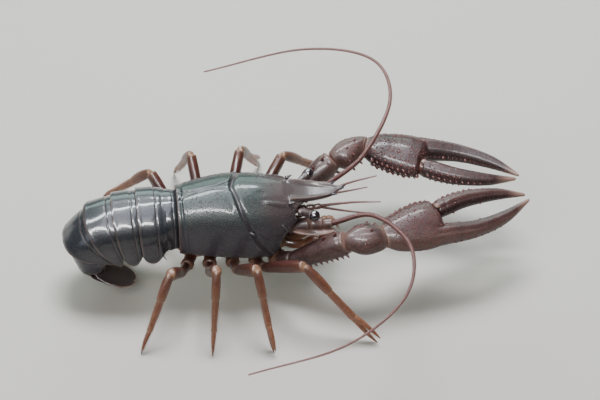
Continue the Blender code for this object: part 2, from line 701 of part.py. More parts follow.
# --- Walking legs ---------------------------------------------------------------------------------


def walking_leg(side_name, side, number):
    """One leg in two nodes that meet at the knee: the thigh, and the shin with its foot."""
    face, out = coxa_frame(number + 1, side)
    knee = mirrored(LEG_KNEE[side_name][number], side)
    tip_x, tip_y = LEG_TIP[side_name][number]
    tip = Vector((tip_x, tip_y * side, 0))
    start = face + out * GAP
    bend = ((knee - start).normalized() + (tip - knee).normalized()).normalized()
    label = f"leg_{number + 2}_{side_name}"

    end = knee - bend * (GAP / 2)
    hip = start + out * 3.4 + Vector((0, 0, 0.8))
    thigh = [start, start + out * 1.4, hip, hip + (end - hip) * 0.12]
    thigh += [hip + (end - hip) * share for share in (0.45, 0.8)] + [end - bend * 1.4, end]
    tube(f"{label}_upper", thigh, (1.8, 1.95, 1.75, 1.9, 2.15, 2.0, 1.8, 1.45), "leg")

    top = knee + bend * (GAP / 2)
    foot = tip + Vector((0, 0, 1.6))
    shin = [top, top + bend * 1.4]
    shin += [(top + bend * 1.4).lerp(foot, share) for share in (0.16, 0.30, 0.34, 0.5, 0.68, 0.72, 0.86)]
    shin += [foot, tip]
    radii = (1.4, 1.65, 1.8, 1.55, 1.25, 1.6, 1.3, 1.1, 0.95, 0.75, 0.6)
    lower = tube(f"{label}_lower", shin, radii, "leg")
    if number in PINCER_LEGS:
        down = (foot - top).normalized()
        away = down.cross(Vector((0, 0, 1))).cross(down).normalized()
        root = top.lerp(foot, 0.70)
        finger = [root, root + down * 2.0 + away * 1.2, root + down * 5.0 + away * 1.7]
        finger.append(tip + Vector((0, 0, 1.9)) + away * 1.2)
        fuse(lower, [tube("pincer", finger, (0.8, 0.85, 0.7, 0.35), "leg")])


# --- Head -----------------------------------------------------------------------------------------


def face_point(y, z):
    """A point on the flat front of the carapace."""
    lean = -CARAPACE_LEAN[-1][1] / (CARAPACE_TOP[-1][1] - CARAPACE_BOTTOM[-1][1])
    return Vector((FRONT_X - lean * (CARAPACE_TOP[-1][1] - z), y, z))


def face_normal():
    lean = -CARAPACE_LEAN[-1][1] / (CARAPACE_TOP[-1][1] - CARAPACE_BOTTOM[-1][1])
    return Vector((1, 0, -lean)).normalized()


def eye(side_name, side):
    x, y, z = ORBIT["middle"]
    out = Vector((0.72, 0.62 * side, 0.2)).normalized()
    root = Vector((x - 0.62 * ORBIT["radii"][0] + GAP, (y - 0.6) * side, z))
    neck = root + Vector((0.9, 0, 0))
    end = neck + out * 3.2
    tube(f"eye_stalk_{side_name}", (root, neck, neck.lerp(end, 0.5), end), (1.3, 1.4, 1.45, 1.5), "shell", 10)
    bpy.ops.mesh.primitive_uv_sphere_add(segments=14, ring_count=10, radius=1.85 * MM)
    ball = bpy.context.object
    mesh = ball.data
    turn = out.to_track_quat("Z", "Y").to_matrix().to_4x4()
    mesh.transform(Matrix.Translation((end + out * (GAP + 1.25)) * MM) @ turn)
    flat = bmesh.new()
    flat.from_mesh(mesh)
    cut = bmesh.ops.bisect_plane(
        flat, geom=[*flat.verts, *flat.edges, *flat.faces],
        plane_co=(end + out * GAP) * MM, plane_no=out, clear_inner=True,
    )
    rim = [item for item in cut["geom_cut"] if isinstance(item, bmesh.types.BMEdge)]
    bmesh.ops.contextual_create(flat, geom=rim)
    bmesh.ops.recalc_face_normals(flat, faces=flat.faces)
    flat.to_mesh(mesh)
    flat.free()
    bpy.data.objects.remove(ball)
    new_object(f"eye_{side_name}", mesh, "eye")


def antennule(side_name, side):
    """The short inner feeler: a jointed stem that carries two whips."""
    root = face_point(2.1 * side, 28.3) + face_normal() * GAP
    stem = [root, root + face_normal() * 0.8, root + Vector((4, 0.1 * side, 0.2)), root + Vector((8.6, 0.3 * side, 0.9))]
    body = tube(f"antennule_{side_name}", stem, (1.2, 1.3, 1.2, 0.9), "feeler", 8)
    whips = []
    for reach, rise in ((19, 3.5), (16, -1.5)):
        tip = stem[-1] + Vector((reach, 3.5 * side, rise))
        middle = stem[-1].lerp(tip, 0.5) + Vector((0, 0.2 * side, rise * 0.25))
        line = curve_points([stem[-1] - Vector((1.2, 0, 0)), middle, tip], 7)
        whips.append(tube("whip", line, (0.55, 0.5, 0.45, 0.4, 0.36, 0.3, 0.26), "feeler", 6))
    return fuse(body, whips)


def antenna_base(side_name, side):
    """The stem of the long feeler with the pointed scale on its outer side."""
    root = face_point(6.0 * side, 24.9) + face_normal() * GAP
    end, after = feeler_line(side_name, side)[:2]
    heading = (after - end).normalized()
    stem = [root, root + face_normal() * 1.0, root.lerp(end, 0.42), root.lerp(end, 0.5), root.lerp(end, 0.86)]
    stem += [end - heading * (GAP * 1.6 + 0.7), end - heading * GAP * 1.6]
    body = tube(f"antenna_base_{side_name}", stem, (2.2, 2.5, 2.45, 2.1, 1.9, 1.45, 1.2), "shell", 10)
    rings = []
    base = root + Vector((1.5, 1.8 * side, 0.5))
    for share, half in ((0, 1.2), (0.25, 2.0), (0.6, 2.1), (0.85, 1.3), (1, 0.35)):
        centre = base + Vector((13.5 * share, (1.2 + 1.8 * share) * side, 0.5 * share))
        rings.append(oval(centre, Vector((0, 1, 0)), Vector((0, 0, 1)), half, 0.5 - 0.15 * share, 8))
    return fuse(body, [loft("scale", rings, "shell")])


def feeler_line(side_name, side):
    return curve_points([mirrored(point, side) for point in FLAGELLUM_ROUTE[side_name]], 37)


def flagellum(side_name, side):
    """The long whip of the feeler, in three lengths that meet end to end."""
    line = feeler_line(side_name, side)
    thick, thin = FLAGELLUM_RADIUS
    each = (len(line) - 1) // len(FLAGELLUM_PARTS)
    for part, name in enumerate(FLAGELLUM_PARTS):
        first = part * each
        points = line[first : first + each + 1]
        if part:
            points = [points[0] + (points[1] - points[0]).normalized() * GAP * 1.4] + points[1:]
        radii = [
            thick + (thin - thick) * ((first + k) / (len(line) - 1)) ** 0.8 for k in range(len(points))
        ]
        tube(f"flagellum_{name}_{side_name}", points, radii, "feeler", 6)


def jaw_leg(side_name, side):
    """The third maxilliped, folded forward under the mouth."""
    start = Vector((JAW_ROOT_X + GAP, 2.7 * side, 14.0))
    route = [start, start + Vector((1.2, 0, 0)), Vector((21, 3.2 * side, 12.8)), Vector((26.5, 3.5 * side, 14.0))]
    route += [Vector((29.5, 3.3 * side, 17.2)), Vector((31.5, 3.0 * side, 16.8)), Vector((33.5, 2.8 * side, 13.5))]
    sizes = ((1.6, 2.0), (1.8, 2.2), (1.6, 2.2), (1.3, 1.7), (1.1, 1.3), (0.95, 1.1), (0.4, 0.4))
    loft(f"jaw_leg_{side_name}", limb_rings(route, sizes, Vector((0, 1, 0)), 8), "leg")


# --- Whole animal ---------------------------------------------------------------------------------


def stand_on_origin():
    """Moves every piece so that the floor point under the middle of the animal is the origin."""
    corners = [obj.matrix_world @ Vector(corner) for obj in CRAYFISH.objects for corner in obj.bound_box]
    shift = Vector(-(min(axis) + max(axis)) / 2 for axis in list(zip(*corners))[:2]).to_3d()
    shift.z = 0.0
    for obj in CRAYFISH.objects:
        obj.data.transform(Matrix.Translation(shift))
    print("moved by", tuple(round(value / MM, 3) for value in shift), "mm")


for old in list(bpy.data.objects):
    bpy.data.objects.remove(old)
CRAYFISH = bpy.data.collections.new("crayfish")
bpy.context.scene.collection.children.link(CRAYFISH)

carapace()
underside()
abdomen()
tail_fan()
for name_of_side, sign in SIDES.items():
    arm(name_of_side, sign)
    wrist(name_of_side, sign)
    hand(name_of_side, sign)
    moving_finger(name_of_side, sign)
    for leg in range(len(LEG_TIP[name_of_side])):
        walking_leg(name_of_side, sign, leg)
    eye(name_of_side, sign)
    antennule(name_of_side, sign)
    antenna_base(name_of_side, sign)
    flagellum(name_of_side, sign)
    jaw_leg(name_of_side, sign)
stand_on_origin()
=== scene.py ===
import math

import bmesh
import bpy
import numpy as np
from mathutils import Matrix, Vector


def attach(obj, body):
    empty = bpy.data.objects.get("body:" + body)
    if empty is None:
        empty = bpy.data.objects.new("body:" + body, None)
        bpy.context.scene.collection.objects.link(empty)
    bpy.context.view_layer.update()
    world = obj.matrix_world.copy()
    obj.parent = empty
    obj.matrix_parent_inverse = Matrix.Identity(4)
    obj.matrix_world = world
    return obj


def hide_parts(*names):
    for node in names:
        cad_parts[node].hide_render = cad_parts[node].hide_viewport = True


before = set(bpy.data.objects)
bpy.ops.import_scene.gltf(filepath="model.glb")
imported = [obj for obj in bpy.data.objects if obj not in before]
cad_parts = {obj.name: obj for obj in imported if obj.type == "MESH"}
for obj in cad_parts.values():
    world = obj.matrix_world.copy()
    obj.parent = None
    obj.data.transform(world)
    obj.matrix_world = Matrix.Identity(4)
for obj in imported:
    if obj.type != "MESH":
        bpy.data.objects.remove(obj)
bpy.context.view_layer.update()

# Red swamp crayfish, life size, head to +X and left side to +Y. Shapes are worked out in millimetres and
# finishPiece() turns them into metres, moved so that the floor point under the middle is the origin.
frameShift = np.array((-19.584, -2.13, 0.0))  # mm
gap = 0.3  # mm between neighbouring CAD solids
sides = {"left": 1, "right": -1}
upward = np.array((0.0, 0.0, 1.0))


# Small tools for colours, nodes and curves

def hexColour(code):  # sRGB hex to linear
    parts = [int(code[i : i + 2], 16) / 255 for i in (1, 3, 5)]
    return (*[p / 12.92 if p <= 0.04045 else ((p + 0.055) / 1.055) ** 2.4 for p in parts], 1.0)


def addNode(tree, kind, inputs=None, **settings):  # a node among the inputs stands for its first output
    made = tree.nodes.new(kind)
    for name, value in settings.items():
        setattr(made, name, value)
    for name, value in (inputs or {}).items():
        if isinstance(value, bpy.types.Node):
            value = value.outputs[0]
        if isinstance(value, bpy.types.NodeSocket):
            tree.links.new(value, made.inputs[name])
        else:
            made.inputs[name].default_value = value
    return made


def smoothAt(stations, place):  # smooth curve through a few (place, value) stations
    xs, ys = np.array(stations, float).T
    near = np.arange(len(xs))
    before, after = np.maximum(near - 1, 0), np.minimum(near + 1, len(xs) - 1)
    slope = (ys[after] - ys[before]) / (xs[after] - xs[before])
    place = np.clip(np.asarray(place, float), xs[0], xs[-1])
    i = np.clip(np.searchsorted(xs, place) - 1, 0, len(xs) - 2)
    span = xs[i + 1] - xs[i]
    t = (place - xs[i]) / span
    ease = t * t * (3 - 2 * t)
    bent = span * t * (1 - t) * ((1 - t) * slope[i] - t * slope[i + 1])
    return ys[i] * (1 - ease) + ys[i + 1] * ease + bent


def ramp(value, low, high):  # 0 below low, 1 above high, eased between
    t = np.clip((np.asarray(value, float) - low) / (high - low), 0, 1)
    return t * t * (3 - 2 * t)


def bell(value, middle, width):
    return np.exp(-(((value - middle) / width) ** 2))


def roundedEnd(fromEnd, dome, least):  # the share of its size that a shape has this far from its domed end
    return np.sqrt(1 - np.clip(1 - fromEnd / dome, 0, 1) ** 2).clip(least)


def fullTurn(count):
    return np.linspace(0, 2 * math.pi, count, endpoint=False)


def scaled(stations, size):
    return [(place, value * size) for place, value in stations]


def unit(vectors):
    vectors = np.asarray(vectors, float)
    return vectors / np.maximum(np.linalg.norm(vectors, axis=-1, keepdims=True), 1e-9)


def routePoints(route, count):  # points on a smooth curve through a short route
    steps = np.linspace(0, len(route) - 1, count)
    return np.stack([smoothAt(list(enumerate(axis)), steps) for axis in np.array(route, float).T], axis=1)


def mirrored(point, side):
    return np.array((point[0], point[1] * side, point[2]), float)


# Materials. Object coordinates are metres, so a pattern of d millimetres has the scale 1000 / d.
# Masks painted on the points are tone (1 on the back), fore (1 at the head), pale (soft or worn edges) and
# stud (granules). On the claws and wrists, tone also paints shade: it is lower on faces that point down and
# over the far claw. On the claws, fore also paints a pale rim highlight along the outer edges.

reliefDepth = 0.00014  # m, of the pits and the fine relief


def newMaterial(name):  # an empty material, its node tree, and the coordinates that its patterns read
    made = bpy.data.materials.new(name)
    made.use_nodes = True
    made.node_tree.nodes.clear()
    return made, made.node_tree, addNode(made.node_tree, "ShaderNodeTexCoord").outputs["Object"]


def cuticle(name, look):
    made, tree, place = newMaterial(name)
    mask = {
        word: addNode(tree, "ShaderNodeAttribute", attribute_name=word).outputs["Fac"]
        for word in ("tone", "fore", "pale", "stud")
    }
    cloud = addNode(tree, "ShaderNodeTexNoise", {
        "Vector": place, "Scale": 1000 / look["mottle"], "Detail": 5.0, "Roughness": 0.62,
    })
    speck = addNode(tree, "ShaderNodeTexNoise", {
        "Vector": place, "Scale": 1000 / look["speck"], "Detail": 3.0,
    })
    pits = addNode(tree, "ShaderNodeTexVoronoi", {
        "Vector": place, "Scale": 1000 / look["pit"], "Randomness": 0.9,
    })
    drift = addNode(tree, "ShaderNodeMath", {
        0: cloud.outputs["Fac"], 1: look["drift"], 2: -look["drift"] / 2,
    }, operation="MULTIPLY_ADD")
    toned, fore = (
        addNode(tree, "ShaderNodeMath", {0: mask[word], 1: drift}, operation="ADD", use_clamp=True)
        for word in ("tone", "fore")
    )
    back = addNode(tree, "ShaderNodeMix", {
        0: fore, 6: hexColour(look["back"]), 7: hexColour(look["head"]),
    }, data_type="RGBA")
    colour = addNode(tree, "ShaderNodeMix", {
        0: toned, 6: hexColour(look["flank"]), 7: back.outputs[2],
    }, data_type="RGBA")
    fleck = addNode(tree, "ShaderNodeMapRange", {
        "Value": speck.outputs["Fac"], "From Min": 0.42, "From Max": 0.72, "To Max": look["flecks"],
    })
    for share, word in ((fleck, "fleck"), (mask["stud"], "stud"), (mask["pale"], "edge")):
        colour = addNode(tree, "ShaderNodeMix", {
            0: share, 6: colour.outputs[2], 7: hexColour(look[word]),
        }, data_type="RGBA")
    pitDip = addNode(tree, "ShaderNodeMapRange", {
        "Value": pits.outputs["Distance"], "From Min": 0.05, "From Max": 0.24, "To Min": 0.0, "To Max": 0.8,
    })
    height = addNode(
        tree, "ShaderNodeMath", {0: speck.outputs["Fac"], 1: 0.55, 2: pitDip}, operation="MULTIPLY_ADD",
    )
    bump, film = (
        addNode(tree, "ShaderNodeBump", {"Strength": look[word], "Distance": reliefDepth, "Height": height})
        for word in ("relief", "film")
    )
    smoothest, roughest = look["gloss"]
    gloss = addNode(tree, "ShaderNodeMapRange", {
        "Value": cloud.outputs["Fac"], "From Min": 0.3, "From Max": 0.75, "To Min": smoothest,
        "To Max": roughest,
    })
    dull = addNode(
        tree, "ShaderNodeMath", {0: mask["pale"], 1: 0.16, 2: gloss}, operation="MULTIPLY_ADD",
        use_clamp=True,
    )
    wetness, filmRoughness = look["wet"]
    shader = addNode(tree, "ShaderNodeBsdfPrincipled", {  # chitin under a film of water
        "Base Color": colour.outputs[2], "Roughness": dull, "Normal": bump,
        "IOR": 1.54, "Specular IOR Level": 0.22,
        "Coat Weight": wetness, "Coat Roughness": filmRoughness, "Coat IOR": 1.35, "Coat Normal": film,
    })
    addNode(tree, "ShaderNodeOutputMaterial", {"Surface": shader})
    return made


cuticles = {
    # Hard cuticle of the back: wet, smooth and nearly black, with pits 0.8 mm apart and 7 mm mottling. The
    # back colour is the real near black with a blue tint, a painted sky reflection.
    "wetShellCuticle": {
        "back": "#22272d", "head": "#4a3938", "flank": "#241f2b", "fleck": "#4d4a48", "stud": "#493436",
        "edge": "#6b5047",
        "mottle": 7.0, "speck": 0.7, "pit": 0.8, "drift": 0.5, "flecks": 0.3, "relief": 0.5, "film": 0.12,
        "gloss": (0.32, 0.48), "wet": (1.0, 0.08),
    },
    # The same over the gills and head: rougher with granules, and mauve brown at the front. The back's
    # greener black is the real dark colour with a green tint, a painted sky reflection.
    "granularShellCuticle": {
        "back": "#1b2f2a", "head": "#483838", "flank": "#3a323f", "fleck": "#48504a", "stud": "#46383a",
        "edge": "#6b5047",
        "mottle": 6.0, "speck": 0.7, "pit": 0.8, "drift": 0.6, "flecks": 0.35, "relief": 0.55, "film": 0.16,
        "gloss": (0.36, 0.52), "wet": (0.5, 0.09),
    },
    # Thick claw cuticle: wine and mauve brown, red on the tubercles and horn coloured at the tips. The
    # near-black flank colour also goes on as painted shade, and the mauve head colour as a painted rim
    # highlight.
    "clawCuticle": {
        "back": "#442725", "head": "#5d433e", "flank": "#2a1517", "fleck": "#6f524c", "stud": "#6e3029",
        "edge": "#b08d7d",
        "mottle": 4.5, "speck": 0.6, "pit": 0.9, "drift": 0.95, "flecks": 0.45, "relief": 0.7, "film": 0.3,
        "gloss": (0.4, 0.58), "wet": (0.4, 0.14),
    },
    # Thin leg cuticle: wine red at the body, orange tan towards the foot and darker at the joints.
    "legCuticle": {
        "back": "#46211f", "head": "#a8714c", "flank": "#84503c", "fleck": "#3a1b19", "stud": "#4c2019",
        "edge": "#c49b76",
        "mottle": 2.6, "speck": 0.45, "pit": 0.7, "drift": 0.9, "flecks": 0.6, "relief": 0.4, "film": 0.2,
        "gloss": (0.34, 0.52), "wet": (0.5, 0.1),
    },
    # Soft uncalcified skin and thin plates of the underside: matt, buff, faintly pink.
    "bellyCuticle": {
        "back": "#8a5240", "head": "#9a6b50", "flank": "#a98266", "fleck": "#6e3d33", "stud": "#7d4032",
        "edge": "#bb9a7d",
        "mottle": 3.0, "speck": 0.5, "pit": 0.6, "drift": 0.5, "flecks": 0.4, "relief": 0.3, "film": 0.2,
        "gloss": (0.4, 0.58), "wet": (0.3, 0.15),
    },
    # Ringed whip of the feelers: slender horn-like rings, reddish tan.
    "feelerCuticle": {
        "back": "#5d312c", "head": "#98706a", "flank": "#7a4a41", "fleck": "#482724", "stud": "#5d302b",
        "edge": "#b3948a",
        "mottle": 9.0, "speck": 0.5, "pit": 0.5, "drift": 0.5, "flecks": 0.35, "relief": 0.2, "film": 0.1,
        "gloss": (0.34, 0.5), "wet": (0.4, 0.12),
    },
}
finishes = {name: cuticle(name, look) for name, look in cuticles.items()}


def bristleMaterial():  # setae: fine chitin hairs, brown and slightly silky
    made, tree, place = newMaterial("chitinSetae")
    clump = 0.8  # mm, the size of the patches of colour
    streak = addNode(tree, "ShaderNodeTexNoise", {"Vector": place, "Scale": 1000 / clump, "Detail": 2.0})
    colour = addNode(tree, "ShaderNodeMix", {
        0: streak.outputs["Fac"], 6: hexColour("#6b4636"), 7: hexColour("#b08f70"),
    }, data_type="RGBA")
    rough = addNode(tree, "ShaderNodeMapRange", {
        "Value": streak.outputs["Fac"], "From Min": 0.3, "From Max": 0.7, "To Min": 0.45, "To Max": 0.62,
    })
    bump = addNode(tree, "ShaderNodeBump", {
        "Strength": 0.2, "Distance": 0.00005, "Height": streak.outputs["Fac"],
    })
    shader = addNode(tree, "ShaderNodeBsdfPrincipled", {
        "Base Color": colour.outputs[2], "Roughness": rough, "Normal": bump,
    })
    addNode(tree, "ShaderNodeOutputMaterial", {"Surface": shader})
    return made


def corneaMaterial():  # compound eye: black and glassy
    made, tree, place = newMaterial("facettedCornea")
    facet = 0.16  # mm, four times as wide as the real ones, so that they show
    facets = addNode(tree, "ShaderNodeTexVoronoi", {
        "Vector": place, "Scale": 1000 / facet, "Randomness": 0.25,
    })
    tint = addNode(tree, "ShaderNodeMapRange", {
        "Value": facets.outputs["Distance"], "From Min": 0.2, "From Max": 0.6,
    })
    colour = addNode(tree, "ShaderNodeMix", {
        0: tint, 6: hexColour("#120f12"), 7: hexColour("#2a2024"),
    }, data_type="RGBA")
    rough = addNode(tree, "ShaderNodeMapRange", {
        "Value": facets.outputs["Distance"], "From Min": 0.0, "From Max": 0.6, "To Min": 0.06, "To Max": 0.2,
    })
    bump = addNode(tree, "ShaderNodeBump", {
        "Strength": 0.35, "Distance": 0.00003, "Height": facets.outputs["Distance"],
    }, invert=True)
    shader = addNode(tree, "ShaderNodeBsdfPrincipled", {
        "Base Color": colour.outputs[2], "Roughness": rough, "Normal": bump, "IOR": 1.45, "Coat Weight": 1.0,
        "Coat Roughness": 0.03,
    })
    addNode(tree, "ShaderNodeOutputMaterial", {"Surface": shader})
    return made


finishes["chitinSetae"] = bristleMaterial()
finishes["facettedCornea"] = corneaMaterial()
print("materials made:", len(finishes))


# Meshes from rings of points

def paintMasks(mesh, **masks):  # one value for each point, or one for all
    for word, values in masks.items():
        layer = mesh.attributes.get(word) or mesh.attributes.new(word, "FLOAT", "POINT")
        values = np.broadcast_to(np.asarray(values, np.float32).ravel(), len(mesh.vertices))
        layer.data.foreach_set("value", np.ascontiguousarray(values))


def readPoints(mesh):
    points = np.empty(len(mesh.vertices) * 3, np.float32)
    mesh.vertices.foreach_get("co", points)
    return points.reshape(-1, 3).astype(float)


def readNormals(mesh):
    normals = np.empty(len(mesh.vertices) * 3, np.float32)
    mesh.vertex_normals.foreach_get("vector", normals)
    return normals.reshape(-1, 3).astype(float)


def writePoints(mesh, points):
    mesh.vertices.foreach_set("co", points.astype(np.float32).ravel())
    mesh.update()


def outwardMesh(name, points, faces, finish, **masks):
    mesh = bpy.data.meshes.new(name)
    mesh.from_pydata(points.tolist(), [], faces)
    solid = bmesh.new()
    solid.from_mesh(mesh)
    if solid.calc_volume(signed=True) < 0:
        bmesh.ops.reverse_faces(solid, faces=solid.faces)
        solid.to_mesh(mesh)
    solid.free()
    mesh.materials.append(finishes[finish])
    mesh.shade_smooth()
    paintMasks(mesh, **masks)
    return mesh


def gridMesh(name, grid, finish, **masks):  # a closed skin over rings x points, a fan at each end
    rings, around = grid.shape[:2]
    points = np.vstack((grid.reshape(-1, 3), grid[0].mean(0), grid[-1].mean(0)))
    index = np.arange(rings * around).reshape(rings, around)
    beside = np.roll(index, -1, axis=1)
    faces = np.stack((index[:-1], beside[:-1], beside[1:], index[1:]), axis=-1).reshape(-1, 4).tolist()
    head, tail = rings * around, rings * around + 1
    faces += [(beside[0, k], index[0, k], head) for k in range(around)]
    faces += [(index[-1, k], beside[-1, k], tail) for k in range(around)]
    painted = {}
    for word, values in masks.items():
        full = np.broadcast_to(np.asarray(values, float), (rings, around))
        painted[word] = np.concatenate((full.ravel(), (full[0].mean(), full[-1].mean())))
    return outwardMesh(name, points, [tuple(int(i) for i in face) for face in faces], finish, **painted)


def sweep(path, half, tall, up=upward, around=28, swell=None):  # oval rings square to a path
    path, count = np.asarray(path, float), len(path)
    along = unit(np.gradient(path, axis=0))
    across = unit(np.cross(along, up))
    over = np.cross(across, along)
    turns = fullTurn(around)
    half, tall = (np.broadcast_to(size, (count,))[:, None] for size in (half, tall))
    grown = 1.0 if swell is None else swell(turns[None, :], np.linspace(0, 1, count)[:, None])
    flat, rise = half * np.cos(turns) * grown, tall * np.sin(turns) * grown
    return path[:, None] + across[:, None] * flat[..., None] + over[:, None] * rise[..., None]


def endShares(count, crowd=0.6):  # shares from 0 to 1 that crowd together at both ends
    even = np.linspace(0, 1, count)
    return (1 - crowd) * even + crowd * (0.5 - 0.5 * np.cos(math.pi * even))


def segment(
    name, start, end, half, tall, finish,
    up=upward, bow=(0, 0, 0), rings=44, around=28, dome=0.8, swell=None, pale=0.55, **masks,
):  # a limb's hard part with both ends domed, its half width and half height given by their stations
    start, end, bow = (np.asarray(point, float) for point in (start, end, bow))
    share = endShares(rings)
    path = start + (end - start) * share[:, None] + bow * (4 * share * (1 - share))[:, None]
    fromEnd = np.minimum(share, 1 - share) * np.linalg.norm(end - start)
    closing = roundedEnd(fromEnd, dome, 0.05)
    grown = None if swell is None else (lambda turns, _: swell(turns, share[:, None]))
    grid = sweep(path, smoothAt(half, share) * closing, smoothAt(tall, share) * closing, up, around, grown)
    painted = {word: (value(share)[:, None] if callable(value) else value) for word, value in masks.items()}
    return gridMesh(name, grid, finish, pale=(pale * np.exp(-fromEnd / 0.7))[:, None], **painted)


def meshHolder(meshes):  # one object that holds all these meshes
    holders = []
    for mesh in meshes:
        holders.append(bpy.data.objects.new("holder", mesh))
        bpy.context.scene.collection.objects.link(holders[-1])
    if len(holders) > 1:
        chosen = {"selected_objects": holders, "selected_editable_objects": holders}
        with bpy.context.temp_override(object=holders[0], active_object=holders[0], **chosen):
            bpy.ops.object.join()
    return holders[0]


def evaluatedMesh(holder):  # the modifiers' result as a plain mesh; the holder goes
    made = bpy.data.meshes.new_from_object(holder.evaluated_get(bpy.context.evaluated_depsgraph_get()))
    holder.modifiers.clear()
    bpy.data.objects.remove(holder)
    return made


def blendShapes(meshes, finish, voxel, rounds):  # one softened skin over closed shapes that overlap
    holder = meshHolder(meshes)
    skin = holder.modifiers.new("skin", "REMESH")
    skin.mode, skin.voxel_size, skin.use_smooth_shade = "VOXEL", voxel, True
    soften = holder.modifiers.new("soften", "SMOOTH")
    soften.factor, soften.iterations = 0.5, rounds
    made = evaluatedMesh(holder)
    made.materials.clear()
    made.materials.append(finishes[finish])
    made.shade_smooth()
    return made


def cutBall(mesh, middle, radii):  # takes a ball-shaped hollow out of a closed mesh
    ball = bmesh.new()
    place = Matrix.Translation(Vector(middle)) @ Matrix.Diagonal((*radii, 1))
    bmesh.ops.create_icosphere(ball, subdivisions=4, radius=1.0, matrix=place)
    tool = bpy.data.meshes.new("ball")
    ball.to_mesh(tool)
    ball.free()
    holder, cutter = meshHolder([mesh]), meshHolder([tool])
    cut = holder.modifiers.new("hollow", "BOOLEAN")
    cut.operation, cut.object, cut.solver = "DIFFERENCE", cutter, "MANIFOLD"
    made = evaluatedMesh(holder)
    bpy.data.objects.remove(cutter)
    return made


def finishPiece(name, meshes, slotName, *nodes):  # in metres, on the frame, riding on the body
    piece = meshHolder(meshes)
    piece.name = piece.data.name = name
    piece.data.transform(Matrix.Translation(Vector(frameShift) * 0.001) @ Matrix.Scale(0.001, 4))
    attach(piece, "root")
    if nodes:
        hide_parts(*nodes)
    return piece


# Growths: Geometry Nodes for granules, thorns, bristles and feeler rings

def newGrowth(name, **sockets):  # a tree with these inputs beside its geometry and material
    tree = bpy.data.node_groups.new(name, "GeometryNodeTree")
    tree.interface.new_socket("Geometry", in_out="OUTPUT", socket_type="NodeSocketGeometry")
    for label, kind in {"Geometry": "Geometry", **sockets, "Material": "Material"}.items():
        tree.interface.new_socket(label, in_out="INPUT", socket_type="NodeSocket" + kind)
    return tree, addNode(tree, "NodeGroupInput").outputs


def endGrowth(tree, material, points, shape, turned, size, joined=None):  # the shape on every point
    placed = addNode(tree, "GeometryNodeInstanceOnPoints", {
        "Points": points, "Instance": shape, "Rotation": turned, "Scale": size,
    })
    real = addNode(tree, "GeometryNodeRealizeInstances", {"Geometry": placed})
    smoothed = addNode(tree, "GeometryNodeSetShadeSmooth", {"Geometry": real})
    painted = addNode(tree, "GeometryNodeSetMaterial", {"Geometry": smoothed, "Material": material})
    if joined is not None:
        both = addNode(tree, "GeometryNodeJoinGeometry", {0: joined})
        tree.links.new(painted.outputs[0], both.inputs[0])
        painted = both
    addNode(tree, "NodeGroupOutput", {"Geometry": painted})
    return tree


def studTree():  # low domes spread over a surface where its studs mask is above 0
    tree, given = newGrowth("studs on a surface", Spacing="Float", Radius="Float", Height="Float", Seed="Int")
    where = addNode(
        tree, "GeometryNodeInputNamedAttribute", {"Name": "studs"}, data_type="FLOAT",
    ).outputs["Attribute"]
    spots = addNode(tree, "GeometryNodeDistributePointsOnFaces", {
        "Mesh": given["Geometry"], "Distance Min": given["Spacing"], "Density Max": 9.0,
        "Density Factor": where, "Seed": given["Seed"],
    }, distribute_method="POISSON").outputs
    dome = addNode(tree, "GeometryNodeMeshIcoSphere", {"Radius": 1.0, "Subdivisions": 1}).outputs["Mesh"]
    marked = addNode(
        tree, "GeometryNodeStoreNamedAttribute", {"Geometry": dome, "Name": "stud", "Value": 1.0},
        data_type="FLOAT", domain="POINT",
    )
    vary = addNode(
        tree, "FunctionNodeRandomValue", {2: 0.6, 3: 1.25, "Seed": given["Seed"]}, data_type="FLOAT",
    ).outputs[1]
    wide, high = (
        addNode(tree, "ShaderNodeMath", {0: given[word], 1: vary}, operation="MULTIPLY")
        for word in ("Radius", "Height")
    )
    size = addNode(tree, "ShaderNodeCombineXYZ", {"X": wide, "Y": wide, "Z": high})
    surface = given["Geometry"]
    return endGrowth(tree, given["Material"], spots["Points"], marked, spots["Rotation"], size, surface)


def thornTree():  # rounded spines, tubercles and teeth, one on each point, by its aim, girth and height
    tree, given = newGrowth("thorns on points", Bluntness="Float")
    cone = addNode(tree, "GeometryNodeMeshCone", {
        "Vertices": 10, "Side Segments": 6, "Radius Top": 1.0, "Radius Bottom": 1.0, "Depth": 1.0,
    }).outputs["Mesh"]
    spot = addNode(tree, "GeometryNodeInputPosition")
    parts = addNode(tree, "ShaderNodeSeparateXYZ", {0: spot}).outputs
    risen = addNode(
        tree, "ShaderNodeMath", {0: parts["Z"], 1: given["Bluntness"]}, operation="POWER", use_clamp=True,
    )
    left = addNode(tree, "ShaderNodeMath", {0: 1.03, 1: risen}, operation="SUBTRACT")
    thin = addNode(tree, "ShaderNodeMath", {0: left, 1: 0.8}, operation="POWER")
    x, y = (
        addNode(tree, "ShaderNodeMath", {0: parts[axis], 1: thin}, operation="MULTIPLY")
        for axis in ("X", "Y")
    )
    moved = addNode(tree, "ShaderNodeCombineXYZ", {"X": x, "Y": y, "Z": parts["Z"]})
    shaped = addNode(tree, "GeometryNodeSetPosition", {"Geometry": cone, "Position": moved})
    marked = addNode(
        tree, "GeometryNodeStoreNamedAttribute", {"Geometry": shaped, "Name": "stud", "Value": parts["Z"]},
        data_type="FLOAT", domain="POINT",
    )
    aim, girth, height = (
        addNode(tree, "GeometryNodeInputNamedAttribute", {"Name": word}, data_type=kind).outputs["Attribute"]
        for word, kind in (("aim", "FLOAT_VECTOR"), ("girth", "FLOAT"), ("height", "FLOAT"))
    )
    turned = addNode(tree, "FunctionNodeAlignRotationToVector", {"Vector": aim}, axis="Z")
    size = addNode(tree, "ShaderNodeCombineXYZ", {"X": girth, "Y": girth, "Z": height})
    dots = addNode(tree, "GeometryNodeMeshToPoints", {"Mesh": given["Geometry"]})
    return endGrowth(tree, given["Material"], dots, marked, turned, size)


